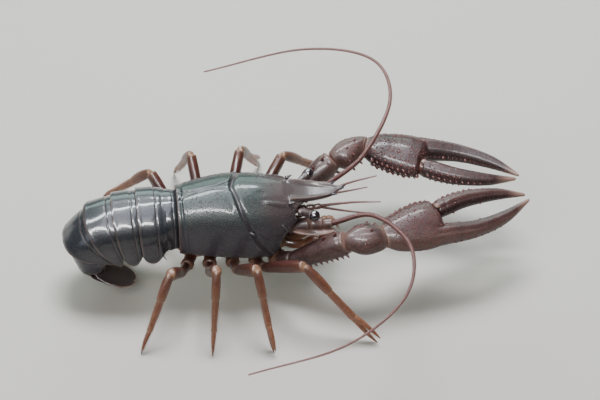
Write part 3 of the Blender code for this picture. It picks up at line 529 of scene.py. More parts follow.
def bristleTree():  # tapered, slightly bent hairs along lines of points, each by its aim
    sizes = {"Spacing": "Float", "Length": "Float", "Thickness": "Float", "Spread": "Float"}
    tree, given = newGrowth("bristles along lines", **sizes, Seed="Int")
    lines = addNode(tree, "GeometryNodeMeshToCurve", {"Mesh": given["Geometry"]})
    even = addNode(
        tree, "GeometryNodeResampleCurve", {"Curve": lines, "Length": given["Spacing"]}, mode="LENGTH",
    )
    hair = addNode(tree, "GeometryNodeMeshCone", {
        "Vertices": 3, "Side Segments": 3, "Radius Top": 0.12, "Radius Bottom": 1.0, "Depth": 1.0,
    }).outputs["Mesh"]
    spot = addNode(tree, "GeometryNodeInputPosition")
    parts = addNode(tree, "ShaderNodeSeparateXYZ", {0: spot}).outputs
    curl = addNode(tree, "ShaderNodeMath", {0: parts["Z"], 1: parts["Z"]}, operation="MULTIPLY")
    lean = addNode(tree, "ShaderNodeMath", {0: curl, 1: 2.2}, operation="MULTIPLY")
    offset = addNode(tree, "ShaderNodeCombineXYZ", {"X": lean})
    bent = addNode(tree, "GeometryNodeSetPosition", {"Geometry": hair, "Offset": offset})
    aim = addNode(
        tree, "GeometryNodeInputNamedAttribute", {"Name": "aim"}, data_type="FLOAT_VECTOR",
    ).outputs["Attribute"]
    stray = addNode(tree, "FunctionNodeRandomValue", {
        0: (-1.0, -1.0, -1.0), 1: (1.0, 1.0, 1.0), "Seed": given["Seed"],
    }, data_type="FLOAT_VECTOR")
    wander = addNode(tree, "ShaderNodeVectorMath", {0: stray, "Scale": given["Spread"]}, operation="SCALE")
    way = addNode(tree, "ShaderNodeVectorMath", {0: aim, 1: wander}, operation="ADD")
    turned = addNode(tree, "FunctionNodeAlignRotationToVector", {"Vector": way}, axis="Z")
    vary = addNode(
        tree, "FunctionNodeRandomValue", {2: 0.6, 3: 1.1, "Seed": given["Seed"]}, data_type="FLOAT",
    ).outputs[1]
    longer = addNode(tree, "ShaderNodeMath", {0: given["Length"], 1: vary}, operation="MULTIPLY")
    size = addNode(tree, "ShaderNodeCombineXYZ", {
        "X": given["Thickness"], "Y": given["Thickness"], "Z": longer,
    })
    return endGrowth(tree, given["Material"], even, bent, turned, size)


def ringTree():  # a feeler: one flared ring after another along a line, by its thick value
    tree, given = newGrowth("rings along a feeler", Spacing="Float")
    line = addNode(tree, "GeometryNodeMeshToCurve", {"Mesh": given["Geometry"]})
    even = addNode(
        tree, "GeometryNodeResampleCurve", {"Curve": line, "Length": given["Spacing"]}, mode="LENGTH",
    )
    ring = addNode(tree, "GeometryNodeMeshCone", {
        "Vertices": 12, "Side Segments": 2, "Radius Top": 1.05, "Radius Bottom": 0.92, "Depth": 1.0,
    }).outputs["Mesh"]
    thick = addNode(
        tree, "GeometryNodeInputNamedAttribute", {"Name": "thick"}, data_type="FLOAT",
    ).outputs["Attribute"]
    ahead = addNode(tree, "GeometryNodeInputTangent")
    turned = addNode(tree, "FunctionNodeAlignRotationToVector", {"Vector": ahead}, axis="Z")
    tall = addNode(tree, "ShaderNodeMath", {0: given["Spacing"], 1: 1.12}, operation="MULTIPLY")
    size = addNode(tree, "ShaderNodeCombineXYZ", {"X": thick, "Y": thick, "Z": tall})
    return endGrowth(tree, given["Material"], even, ring, turned, size)


growths = {"studs": studTree(), "thorns": thornTree(), "bristles": bristleTree(), "rings": ringTree()}


def grow(mesh, kind, **settings):  # runs one growth on a mesh and returns the plain result
    holder = meshHolder([mesh])
    made = holder.modifiers.new(kind, "NODES")
    made.node_group = growths[kind]
    for item in growths[kind].interface.items_tree:
        if item.in_out == "INPUT" and item.name in settings:
            made[item.identifier] = settings[item.name]
    return evaluatedMesh(holder)


def growStuds(mesh, finish, spacing, radius, height, seed):
    size = {"Spacing": spacing, "Radius": radius, "Height": height}
    return grow(mesh, "studs", **size, Seed=seed, Material=finishes[finish])


def paintAims(mesh, aims):  # the way that the growth on each point leans
    layer = mesh.attributes.new("aim", "FLOAT_VECTOR", "POINT")
    layer.data.foreach_set("vector", aims.astype(np.float32).ravel())


def growThorns(thorns, finish, bluntness=2.0):  # thorns: (place, aim, radius, height)
    places, aims, radii, heights = (np.array(values, float) for values in zip(*thorns))
    aims = unit(aims)
    mesh = bpy.data.meshes.new("thorns")
    sunk = radii * 0.6  # of each root
    mesh.from_pydata((places - aims * sunk[:, None]).tolist(), [], [])
    paintAims(mesh, aims)
    paintMasks(mesh, girth=radii, height=heights + sunk)
    return grow(mesh, "thorns", Bluntness=bluntness, Material=finishes[finish])


def growBristles(lines, spacing, length, thickness, seed, spread=0.25):  # lines: (points, aims)
    points, aims, edges = [], [], []
    for places, ways in lines:
        first = sum(len(part) for part in points)
        points.append(np.asarray(places, float))
        aims.append(np.broadcast_to(unit(ways), points[-1].shape))
        edges += [(first + k, first + k + 1) for k in range(len(places) - 1)]
    mesh = bpy.data.meshes.new("bristles")
    mesh.from_pydata(np.vstack(points).tolist(), edges, [])
    paintAims(mesh, np.vstack(aims))
    size = {"Spacing": spacing, "Length": length, "Thickness": thickness, "Spread": spread}
    return patchMap(grow(mesh, "bristles", **size, Seed=seed, Material=finishes["chitinSetae"]))


def patchMap(mesh):  # a UV patch for each hair, in the order of the roots
    sides, points, patch = 3, 12, 0.003  # of one hair
    corners = np.empty(len(mesh.loops), np.int32)
    mesh.loops.foreach_get("vertex_index", corners)
    hair = corners // points
    row = max(1, math.ceil(math.sqrt(hair.max() + 1 if len(hair) else 1)))
    spot = np.stack((hair % row, hair // row), axis=1) / row + patch / 6
    inner = np.stack((corners % sides, corners % points // sides), axis=1) * (patch / 4)
    layer = mesh.uv_layers.new(name="OFBake")
    layer.uv.foreach_set("vector", (spot + inner).astype(np.float32).ravel())
    return mesh


# Carapace

shield = {
    "rear": -20.0, "front": 22.0,
    "halfWidth": ((-20, 10.6), (-7, 13.5), (4, 12.9), (14, 10.9), (22, 8.6)),
    "top": ((-20, 36.6), (-6, 39.4), (6, 38.6), (15, 36.6), (22, 34.8)),
    "waist": ((-20, 26.5), (-6, 25.0), (10, 26.5), (22, 28.0)),
    "bottom": ((-20, 18.0), (-6, 14.8), (6, 15.4), (15, 18.4), (22, 21.0)),
    "tuck": ((-20, 0.75), (-6, 0.62), (10, 0.70), (22, 0.84)),
    "lean": ((-20, 0.0), (-1, 9.0), (22, -8.0)),
    "bellyRise": 3.2, "widthPower": 0.95, "heightPower": 0.92,  # of the back's arch
    "neckGroove": ((-80, 4.6), (-50, 3.4), (-20, 1.6), (10, 0.2), (40, -0.6), (70, -1.1), (90, -2.2)),
    "midGroove": ((-20, 2.6), (-17, 1.0), (-12, 0.42), (-7, 0.45), (-3.5, 1.5), (-1.5, 3.0)),
    "neckDepth": 0.85,
    "orbit": ((22.2, 7.2, 31.4), (4.2, 3.6, 2.9)),
    "ridge": ((3.5, 5.0, 1.1), (9.0, 5.9, 0.35), (14.0, 6.1, 0.25), (17.4, 5.9, 0.7)),
    "skinStep": 0.28, "granuleStep": 0.62, "granuleRadius": 0.24,
    "liver": ((1, 12), (6, 3), (11, -14), (16, -26)),  # (station, turn) of the groove down the cheek
    "spines": (  # (place, aim, (radius, height)) of the left ones: rostrum, behind the eye, neck, below it
        ((31, 2.35, 34.4), (1.0, 0.5, 0.15), (0.55, 1.7)), ((16.8, 6.0, 35.2), (1.0, 0.1, 0.4), (0.65, 1.9)),
        ((3.4, 12.3, 29.2), (0.75, 1.0, 0.2), (0.75, 1.7)), ((2.3, 12.5, 26.9), (0.75, 1.0, 0.1), (0.5, 0.9)),
    ),
}
rostrum = {
    "root": 17.0, "tip": 35.0,
    "halfWidth": ((17, 5.0), (24, 4.3), (31, 2.5), (32, 1.5), (35, 0.35)),
    "top": ((17, 35.9), (23, 35.1), (31, 34.6), (35, 35.4)),
    "dish": ((14.5, 0.0), (18, 0.35), (23, 0.85), (30, 0.85), (33, 0.45), (35, 0.05)), "brim": 0.26,
    "thickness": 2.1, "spine": ((34.6, 0, 35.3), (1.0, 0, 0.15), 0.42, 1.0),
}


def shieldGrid(stations, shrink=0.0):
    words = "halfWidth", "top", "waist", "bottom", "tuck", "lean"
    width, top, waist, bottom, tuck, lean = (smoothAt(shield[word], stations)[:, None] for word in words)
    width, top, bottom = width - shrink, top - shrink, bottom + shrink
    arch = np.linspace(0, math.pi, 73)[None, :]
    archY = width * np.sign(np.cos(arch)) * np.abs(np.cos(arch)) ** shield["widthPower"]
    archZ = waist + (top - waist) * np.abs(np.sin(arch)) ** shield["heightPower"]
    cheek = np.linspace(0, math.pi / 2, 15)[None, 1:]
    cheekY, cheekZ = width * (tuck + (1 - tuck) * np.cos(cheek)), waist - (waist - bottom) * np.sin(cheek)
    across = np.linspace(-0.965, 0.965, 27)[None, :]
    bellyY = width * tuck * across
    bellyZ = bottom + shield["bellyRise"] * (1 - np.abs(across) ** 7)
    y = np.hstack((cheekY[:, ::-1], archY, -cheekY, bellyY))
    z = np.hstack((cheekZ[:, ::-1], archZ, cheekZ, bellyZ))
    x = stations[:, None] + lean * (top - z) / (top - bottom)
    return np.stack((x, y, z), axis=-1)


def shieldPlace(points):  # each point's station, and its turn: 90 on the back, 0 at the waist
    x, _, z = points.T
    station = np.clip(x, shield["rear"], shield["front"])
    for _ in range(8):
        lean, top, bottom = (smoothAt(shield[word], station) for word in ("lean", "top", "bottom"))
        station = x - lean * (top - z) / (top - bottom)
    waist = smoothAt(shield["waist"], station)
    top, bottom = (smoothAt(shield[word], station) for word in ("top", "bottom"))
    rise = np.arcsin(np.clip((z - waist) / (top - waist), 0, 1) ** (1 / shield["heightPower"]))
    drop = np.arcsin(np.clip((waist - z) / (waist - bottom), 0, 1))
    return station, np.degrees(np.where(z > waist, rise, -drop))


def shieldPoint(x, turn, side):  # a point on the flank, and the way out of it
    angle = math.radians(turn)
    words = "halfWidth", "waist", "top", "bottom", "lean", "tuck"
    width, waist, top, bottom, lean, tuck = (float(smoothAt(shield[word], x)) for word in words)
    if turn > 0:
        half = width * math.cos(angle) ** shield["widthPower"]
        height = waist + (top - waist) * math.sin(angle) ** shield["heightPower"]
    else:
        half = width * (tuck + (1 - tuck) * math.cos(angle))
        height = waist + (waist - bottom) * math.sin(angle)
    out = unit((0, side * math.cos(angle) / width, math.sin(angle) / (top - waist)))
    return np.array((x + lean * (top - height) / (top - bottom), side * half, height)), out


def rostrumMesh():
    place = np.linspace(rostrum["root"], rostrum["tip"], 60)
    half, top = (smoothAt(rostrum[word], place)[:, None] for word in ("halfWidth", "top"))
    under = top - rostrum["thickness"] * (0.35 + 0.65 * half / half[0])
    y = np.linspace(1, -1, 25)[None, :]
    upperZ = top - 0.5 * ramp(np.abs(y), 0.93, 1.0)
    low = np.linspace(-0.86, 0.86, 15)[None, :]
    lowerZ = under - 0.25 * (1 - low**2)
    ys = half * np.hstack((y, low))
    zs = np.hstack((upperZ, lowerZ))
    xs = np.broadcast_to(place[:, None], ys.shape)
    return gridMesh("rostrum", np.stack((xs, ys, zs), axis=-1), "granularShellCuticle")


def makeCarapace():
    grid = shieldGrid(np.linspace(shield["rear"], shield["front"], 110))
    back, face = shieldGrid(np.full(1, shield["rear"]), 1.1), shieldGrid(np.full(1, shield["front"]), 0.9)
    # both ends are dished
    grid = np.vstack((back + (2.2, 0, 0), back + (0.25, 0, 0), grid, face, face - (1.1, 0, 0)))
    shell = gridMesh("shell", grid, "granularShellCuticle")
    middle, radii = shield["orbit"]
    for side in sides.values():
        shell = cutBall(shell, (middle[0], middle[1] * side, middle[2]), radii)
    parts = [shell, rostrumMesh()]
    for side in sides.values():
        ridge = []
        for x, y, sunk in shield["ridge"]:
            turn = math.degrees(math.acos(y / float(smoothAt(shield["halfWidth"], x))))
            ridge.append(shieldPoint(x, turn, side)[0] - (0, 0, sunk))
        line = routePoints(ridge, 40)
        fat = smoothAt(((0, 0.35), (0.35, 0.75), (0.75, 0.85), (1, 0.4)), np.linspace(0, 1, len(line)))
        parts.append(gridMesh("ridge", sweep(line, fat, fat, around=16), "granularShellCuticle"))
    skin = carveShell(blendShapes(parts, "granularShellCuticle", shield["skinStep"], 4))
    thorns = []
    for side in sides.values():
        for place, aim, size in shield["spines"]:
            thorns.append((mirrored(place, side), mirrored(aim, side), *size))
        for step in range(5):  # a row of small ones down the cheek
            place, _ = shieldPoint(14.6 + step * 0.9, 14 - step * 5, side)
            thorns.append((place, (0.8, side, 0.1), 0.4, 0.6))
    thorns.append(rostrum["spine"])
    finishPiece("carapaceShell", [skin, growThorns(thorns, "granularShellCuticle", 1.3)], "shell", "carapace")
    fringe = []
    for side in sides.values():  # fine bristles along the lower edge of the gill covers
        for turn in (-80, -87):
            line = np.array([shieldPoint(x, turn, side)[0] for x in np.linspace(-18.5, 17, 60)])
            fringe.append((line, (0.25, -0.35 * side, -1.0)))
    finishPiece("gillCoverBristles", [growBristles(fringe, 0.22, 0.7, 0.03, 20)], "shell")


def carveShell(skin):  # grooves and ridges are pressed in, then the masks are painted and the granules grown
    points, normals = readPoints(skin), readNormals(skin)
    station, turn = shieldPlace(points)
    ahead, offMiddle = points[:, 0], np.abs(points[:, 1])
    outside = ramp(normals @ upward, -0.75, -0.45) * ramp(station, -20.2, -19.6)
    outside *= 1 - ramp(ahead, 21.5, 24) * ramp(points[:, 2], 32.5, 34)  # not on the rostrum
    fromNeck = station - smoothAt(shield["neckGroove"], turn)
    neck = bell(fromNeck, 0, np.where(fromNeck > 0, 0.95, 0.5)) * ramp(turn, -85, -60)
    behind = bell(fromNeck, -1.1, 0.6) * ramp(turn, -85, -60)  # the lip behind the groove
    middle = bell(offMiddle, smoothAt(shield["midGroove"], station), 0.34)
    middle *= ramp(-station, 1.6, 2.6) * ramp(turn, 45, 60)
    rim = bell(station, -18.5, 0.4) * ramp(turn, -86, -70)
    hem = bell(turn, -66, 4.5) * ramp(station, -18, -15) * (1 - ramp(station, 13, 17))
    liver = bell(turn, smoothAt(shield["liver"], station), 5)
    liver *= ramp(station, 2.0, 4.0) * (1 - ramp(station, 13, 16))
    jaw = bell(fromNeck, 4.2, 1.0) * bell(turn, -38, 14)
    muscle = bell(station, 7.5, 2.2) * bell(offMiddle, 3.1, 1.1) * ramp(turn, 40, 60)  # two faint scars
    depth = shield["neckDepth"] * neck - 0.18 * behind + 0.45 * middle + 0.32 * rim
    depth = depth + 0.28 * hem + 0.36 * liver + 0.28 * jaw + 0.16 * muscle
    moved = points - normals * (depth * outside)[:, None]
    share = offMiddle / smoothAt(rostrum["halfWidth"], ahead)  # of the rostrum's half width
    fromTop = points[:, 2] - smoothAt(rostrum["top"], ahead)
    upper = ramp(normals @ upward, 0.25, 0.6) * ramp(fromTop, -1.3, -0.8) * ramp(ahead, 14.5, 15.5)
    brim = bell(share, 0.88, 0.11) * ramp(ahead, 14.5, 18) * (1 - ramp(ahead, 33, 35))
    trough = smoothAt(rostrum["dish"], ahead) * ramp(0.84 - share, 0.0, 0.4)
    moved[:, 2] += upper * (rostrum["brim"] * brim - trough)
    writePoints(skin, moved)
    flank = ramp(turn, -82, -70) * (1 - ramp(turn, 52, 84) * 0.86) * ramp(station, -18.6, -17)
    onFace, under = ramp(station, 20.6, 21.6), 1 - ramp(normals @ upward, -0.8, -0.5)
    dents = np.clip(neck + 0.7 * middle + 0.6 * liver + 0.5 * rim, 0, 1) * outside
    tone = (0.18 + 0.82 * ramp(turn, 6, 52)) * (1 - 0.75 * dents)
    fore = ramp(station + 2.5 * np.sin(turn / 30), 4, 16)
    pale = 0.45 * ramp(-station, 19.0, 19.8) + 0.12 * neck + 0.45 * ramp(-turn, 74, 86)
    pale = np.clip(pale + 0.22 * hem + 0.6 * brim * upper + 0.75 * under, 0, 1)
    studs = np.clip(flank * (1 - neck) * (1 - onFace) * (1 - 0.8 * middle) * outside, 0, 1)
    studs *= 1 - ramp(normals[:, 0], 0.55, 0.8)
    paintMasks(skin, tone=tone, fore=fore, pale=pale, stud=0.0, studs=studs)
    return growStuds(skin, "granularShellCuticle", shield["granuleStep"], shield["granuleRadius"], 0.13, 11)


makeCarapace()
print("carapace done")


# Abdomen: six overlapping rings, each with a side plate, and the tail fan

abdomen = {
    "length": (4.6, 7.4, 7.0, 6.6, 6.2, 7.4), "pitch": (0, 2, 6, 17, 46, 94),
    "halfWidth": (9.9, 11.7, 11.5, 10.9, 10.1, 9.0), "height": (9.4, 10.0, 9.7, 9.1, 8.3, 6.9),
    "plate": (5.2, 9.0, 9.2, 8.8, 7.2, 4.8), "belly": 4.4, "lastWidth": 8.3, "lastHeight": 4.6,
    "tuckedIn": 1.1, "lip": 0.28, "plateEdge": 0.6,
    "scale": (  # along a ring: a raised front step, a groove and a rear lip
        (-0.3, 0.90), (-0.02, 0.935), (0.08, 0.958), (0.20, 0.976), (0.25, 0.966), (0.30, 0.984),
        (0.5, 0.997), (0.85, 1.0), (0.95, 1.006), (1.06, 0.99),
    ),
    "lobe": ((-0.25, 0.30), (0, 0.60), (0.3, 0.92), (0.62, 1.0), (0.88, 0.86), (1, 0.66), (1.06, 0.60)),
    "platePoints": 22, "archPoints": 35, "tuckedRows": 7, "ringRows": 52, "turnedIn": (0.0, 0.45, 0.75, 0.95),
}


def backAt(turn):  # the way back along a tail that points down by this turn
    return np.array((-math.cos(turn), 0, -math.sin(turn)))


def overAt(turn):  # the way up there
    return np.array((-math.sin(turn), 0, math.cos(turn)))


def hingePlanes():  # (point, way back, way up) of each plane that two rings meet on
    point = np.array((shield["rear"] - gap / 2, 0, 26.0))
    pitches, planes = [0, *abdomen["pitch"]], []
    for i, length in enumerate((*abdomen["length"], 0)):
        here = pitches[min(i + 1, 6)]
        turn = math.radians((pitches[i] + here) / 2 if i else 0)
        planes.append((point, backAt(turn), overAt(turn)))
        point = point + backAt(math.radians(here)) * length
    return planes


planes = hingePlanes()


def somiteMesh(number):
    length = abdomen["length"][number]
    first, last = -abdomen["tuckedIn"] / length, 1 + abdomen["lip"] / length
    tucked = np.linspace(first, -0.02, abdomen["tuckedRows"])
    shown = np.linspace(0.0, 1.0, abdomen["ringRows"])
    share = np.concatenate((tucked, shown, [(1 + last) / 2, last, last, 0.97, 0.8]))
    turnedIn = np.array(abdomen["turnedIn"]) * (1 if number < 5 else 0.6)  # the rear edge turns in
    inward = np.concatenate((np.zeros(len(share) - len(turnedIn)), turnedIn))
    held = np.clip(share, 0, 1)
    scale, lobe = smoothAt(abdomen["scale"], share), smoothAt(abdomen["lobe"], share)
    width = np.full(len(share), abdomen["halfWidth"][number], float)
    height = np.full(len(share), abdomen["height"][number], float)
    if number == 5:
        width += (abdomen["lastWidth"] - width) * held
        height += (abdomen["lastHeight"] - height) * held**1.5
    belly = abdomen["belly"] - 0.25 * number
    width, height = (width * scale - inward)[:, None], (height * scale - inward)[:, None]
    depth = np.maximum(abdomen["plate"][number] * lobe - inward * 0.5, belly + 0.5)[:, None]
    risen = np.linspace(0, 1, abdomen["platePoints"])[None, :]
    plateY = width * (0.93 + 0.07 * np.sin(risen * math.pi / 2) ** 0.8) + 0.22 * bell(risen, 0.12, 0.14)
    plateZ = -depth * (1 - risen)
    arch = np.linspace(0, math.pi / 2, abdomen["archPoints"] + 1)[None, 1:]
    archY = width * np.cos(arch) ** 0.9
    archZ = height * np.sin(arch) ** 0.95 * (1 - 0.012 * bell(arch, math.pi / 2, 0.1))
    outerY, outerZ = np.hstack((plateY, archY)), np.hstack((plateZ, archZ))
    edge = abdomen["plateEdge"]
    wall = width * 0.93  # the inside of a plate, from its edge up to the belly
    walls = [
        (wall - edge * 0.5, -depth - edge * 0.35), (wall - edge, -depth + 0.15),
        (wall - edge * 1.5, -(depth * 0.6 + belly * 0.4)), (wall - 1.7, -(depth * 0.25 + belly * 0.75)),
    ]
    across = np.linspace(0.86, 0.0, 12)
    bar = 0.75 * bell(share, 0.35, 0.16)[:, None]
    for k in across:
        walls.append((width * k * 0.92, -belly - 0.75 * (1 - k**2) - bar * (1 - k**6)))
    innerY, innerZ = (np.hstack([np.broadcast_to(wall[i], width.shape) for wall in walls]) for i in (0, 1))
    y = np.hstack((outerY, -outerY[:, -2::-1], -innerY, innerY[:, -2::-1]))
    z = np.hstack((outerZ, outerZ[:, -2::-1], innerZ, innerZ[:, -2::-1]))
    front, rear = planes[number], planes[number + 1]
    centre = front[0] + (rear[0] - front[0]) * share[:, None]
    up = unit(front[2] + (rear[2] - front[2]) * share[:, None])
    grid = centre[:, None] + np.array((0, 1, 0)) * y[..., None] + up[:, None] * z[..., None]
    outerCount = outerY.shape[1] * 2 - 1
    onBack = np.zeros(y.shape)
    onBack[:, :outerCount] = ramp(z[:, :outerCount] / abdomen["height"][number], -0.15, 0.75)
    soft = np.zeros(y.shape)
    soft[:, outerCount:] = 0.25 + 0.6 * bell(share, 0.35, 0.14)[:, None]
    soft[:, :outerCount] += 0.55 * ramp(-z[:, :outerCount] / depth, 0.84, 1.0)
    soft += (0.4 * bell(share, 1.02, 0.05) + 0.25 * bell(share, 0.25, 0.02))[:, None]
    looks = {"tone": 0.28 + 0.72 * onBack, "pale": np.clip(soft, 0, 1), "fore": 0.0}
    ring = gridMesh(f"ring{number}", grid, "wetShellCuticle", **looks)
    ring.materials.append(finishes["bellyCuticle"])  # soft skin and pale bars on the inside
    inside = np.arange(y.shape[1]) >= outerCount + 3
    inside[-4:] = False
    kinds = np.concatenate((np.tile(inside, len(share) - 1), np.zeros(2 * y.shape[1], bool)))
    ring.polygons.foreach_set("material_index", kinds.astype(np.int32))
    return ring, grid, share


swimmeret = {
    "length": 8.6, "shorter": 0.6, "out": 4.6, "stalk": 0.32, "rings": 60,
    "stalkWidth": ((0, 0.85), (0.6, 0.75), (1, 0.7)), "stalkHeight": ((0, 0.8), (1, 0.65)),
    "paddles": ((0.34, 1.35, 0.7), (-0.26, 1.0, 0.62)),  # (lean, half width, share of the length)
    "paddleWidth": ((0, 0.5), (0.3, 1.0), (0.7, 0.9), (1, 0.12)),
    "paddleHeight": ((0, 1.2), (0.3, 1.0), (1, 0.35)),
}


def swimmeretMeshes(number):  # a stalk with two ringed paddles on each side
    front, rear = planes[number], planes[number + 1]
    middle, up = (front[0] + rear[0]) / 2, unit(front[2] + rear[2])
    made, lines = [], []
    for side in sides.values():
        root = middle - up * (abdomen["belly"] - 0.2) + np.array((0, swimmeret["out"] * side, 0))
        down = unit(-up + np.array((0.45, 0.18 * side, 0)))
        length = swimmeret["length"] - swimmeret["shorter"] * number
        knee = root + down * length * swimmeret["stalk"]
        size = swimmeret["stalkWidth"], swimmeret["stalkHeight"]
        how = {"up": (1, 0, 0), "rings": 12, "around": 12, "dome": 0.4}
        made.append(segment("stalk", root - down * 0.6, knee + down * 0.3, *size, "bellyCuticle", **how))
        for lean, wide, reach in swimmeret["paddles"]:
            way = unit(down + np.array((0.12, lean * side, 0)))
            share, end = endShares(30, 0.4), knee + way * length * reach
            path = knee + (end - knee) * share[:, None]
            ringed = np.cos(share * swimmeret["rings"])
            flat = wide * smoothAt(swimmeret["paddleWidth"], share) * (1 + 0.04 * ringed)
            thin = 0.32 * smoothAt(swimmeret["paddleHeight"], share) * (1 + 0.08 * ringed)
            grid = sweep(path, flat, thin, up=(1, 0.0, 0.05), around=12)
            made.append(gridMesh("paddle", grid, "bellyCuticle", tone=0.5, fore=share[:, None], pale=0.2))
            broad = unit(np.cross(way, (1, 0, 0)))
            for edge in (1, -1):  # bristles along the outer two thirds
                line = path + broad * (flat * edge)[:, None]
                lines.append((line[8:], unit(way + broad * edge * 0.7)))
    return made, lines


def makeAbdomen():
    paddles, hairs, fringes = [], [], []
    for number in range(6):
        ring, grid, share = somiteMesh(number)
        if number:  # the lower edge of each side plate carries short bristles
            rows = np.arange(len(share)) < abdomen["tuckedRows"] + abdomen["ringRows"]
            edges = grid[rows & (share > 0.05) & (share < 0.98)]
            rightEdge = 2 * (abdomen["platePoints"] + abdomen["archPoints"]) - 1
            for column, side in ((0, 1), (rightEdge, -1)):
                way = unit(-planes[number][2] + np.array((-0.35, 0.25 * side, 0)))
                fringes.append((edges[:, column], way))
        finishPiece(f"abdomen{number + 1}", [ring], "shell", f"abdomen_{number + 1}")
        if 0 < number < 5:
            made, lines = swimmeretMeshes(number)
            paddles += made
            hairs += lines
    finishPiece("swimmerets", paddles, "belly")
    finishPiece("swimmeretBristles", [growBristles(hairs, 0.16, 1.5, 0.035, 21)], "belly")
    finishPiece("sidePlateBristles", [growBristles(fringes, 0.22, 0.8, 0.035, 22)], "shell")


makeAbdomen()
print("abdomen done")

fan = {
    "pitch": 165,
    "telson": {"length": 13.8, "halfWidth": 5.3, "thickness": 1.4, "height": 3.4, "bend": 3.6},
    "inner": {"root": 4.4, "height": 1.0, "bend": 2.4, "splay": 3, "length": 14.6, "halfWidth": 4.5},
    "outer": {"root": 5.8, "height": -1.3, "bend": 1.4, "splay": 6, "length": 14.8, "halfWidth": 5.1},
    "thickness": 0.9, "bristle": 1.7, "bendLength": 1.75,
    "telsonSpines": ((8.6, 5.1), (9.3, 4.65)),  # (along, out)
    "seamSpines": {"along": 0.655, "curve": 0.012, "apart": 0.62, "count": 13}, "cornerSpine": (0.64, 4.7),
    "stemOut": 5.0, "stemWidth": ((0, 1.98), (0.3, 2.2), (0.8, 2.31), (1, 1.76)),
    "stemHeight": ((0, 1.35), (0.3, 1.5), (0.8, 1.575), (1, 1.2)),
    "bladeRows": (40, 30), "bladePoints": 33, "bristleRow": 36,
    "widest": (0.55, 0.45),  # (share of a blade's length where its end starts to round, the rest)
}


def bladePath(root, along, across, up, bend, gone):  # centre, way across and way up so far along a blade
    _, behind, rise = planes[-1]
    gone = np.asarray(gone, float)[..., None]
    turned = (gone / (fan["bendLength"] * bend)).clip(0, 1)
    backward = bend * turned * (2 - turned) + gone.clip(None, 0)
    onward = bend * turned**2 + (gone - fan["bendLength"] * bend).clip(0)
    wide, over = np.array((0, 1, 0)) * (1 - turned) + across * turned, rise * (1 - turned) + up * turned
    return root + behind * backward + along * onward, unit(wide), unit(over)


def bladeMesh(path, length, halfWidth, thickness, stem, square, grooves):
    straight, rounded = fan["bladeRows"]
    widest, left = fan["widest"]
    end = widest + left * np.sin(np.linspace(0, math.pi / 2, rounded))
    share = np.concatenate((np.linspace(-0.05, widest, straight), end[1:]))
    spread = smoothAt(((0, stem), (0.3, 0.86), (widest, 1.0), (1, 0.97)), share.clip(0))
    rounding = np.sqrt(1 - ((share - widest) / left).clip(0, 1) ** square)
    spread = spread * np.where(share > widest, rounding, 1).clip(0.06)
    half = (halfWidth * spread)[:, None]
    thick = (thickness / 2 * (1 - 0.45 * share.clip(0)))[:, None]
    y = np.linspace(-1, 1, fan["bladePoints"])[None, :]
    rows = share[:, None]
    edge = thick * (1 - 0.75 * np.abs(y) ** 5)
    relief = 0.3 * bell(y, 0, 0.085) * (1 - 0.6 * rows.clip(0)) + grooves(rows, y)
    relief += 0.05 * np.cos(y * 34) * ramp(rows, 0.45, 0.8) * (1 - np.abs(y) ** 4)  # fine ribs
    camber = -0.35 * y * y
    centre, wide, over = bladePath(*path, length * share)
    place, over = centre[:, None] + wide[:, None] * (half * y)[..., None], over[:, None]
    upper = place + over * (edge + relief + camber)[..., None]
    lower = place + over * (-edge + camber)[..., None]
    grid = np.concatenate((upper, lower[:, ::-1]), axis=1)
    pale = 0.6 * ramp(np.abs(y), 0.8, 1.0) + 0.5 * ramp(rows, 0.86, 1.0)
    pale = np.concatenate((pale, 0.2 + 0.5 * pale), axis=1)
    mesh = gridMesh("blade", grid, "wetShellCuticle", tone=0.75, pale=pale, fore=0.25 * ramp(rows, 0.2, 1.0))
    place, left = place[fan["bristleRow"] :], 1 - rows[fan["bristleRow"] :]
    _, along, across, up, _ = path
    rim = np.concatenate((place[:, 0], place[:, -1][::-1])) + up * camber[0, 0]
    ways = np.concatenate((along - across * left * 2.2, (along + across * left * 2.2)[::-1]))
    return mesh, (rim - unit(ways) * 0.15, ways)


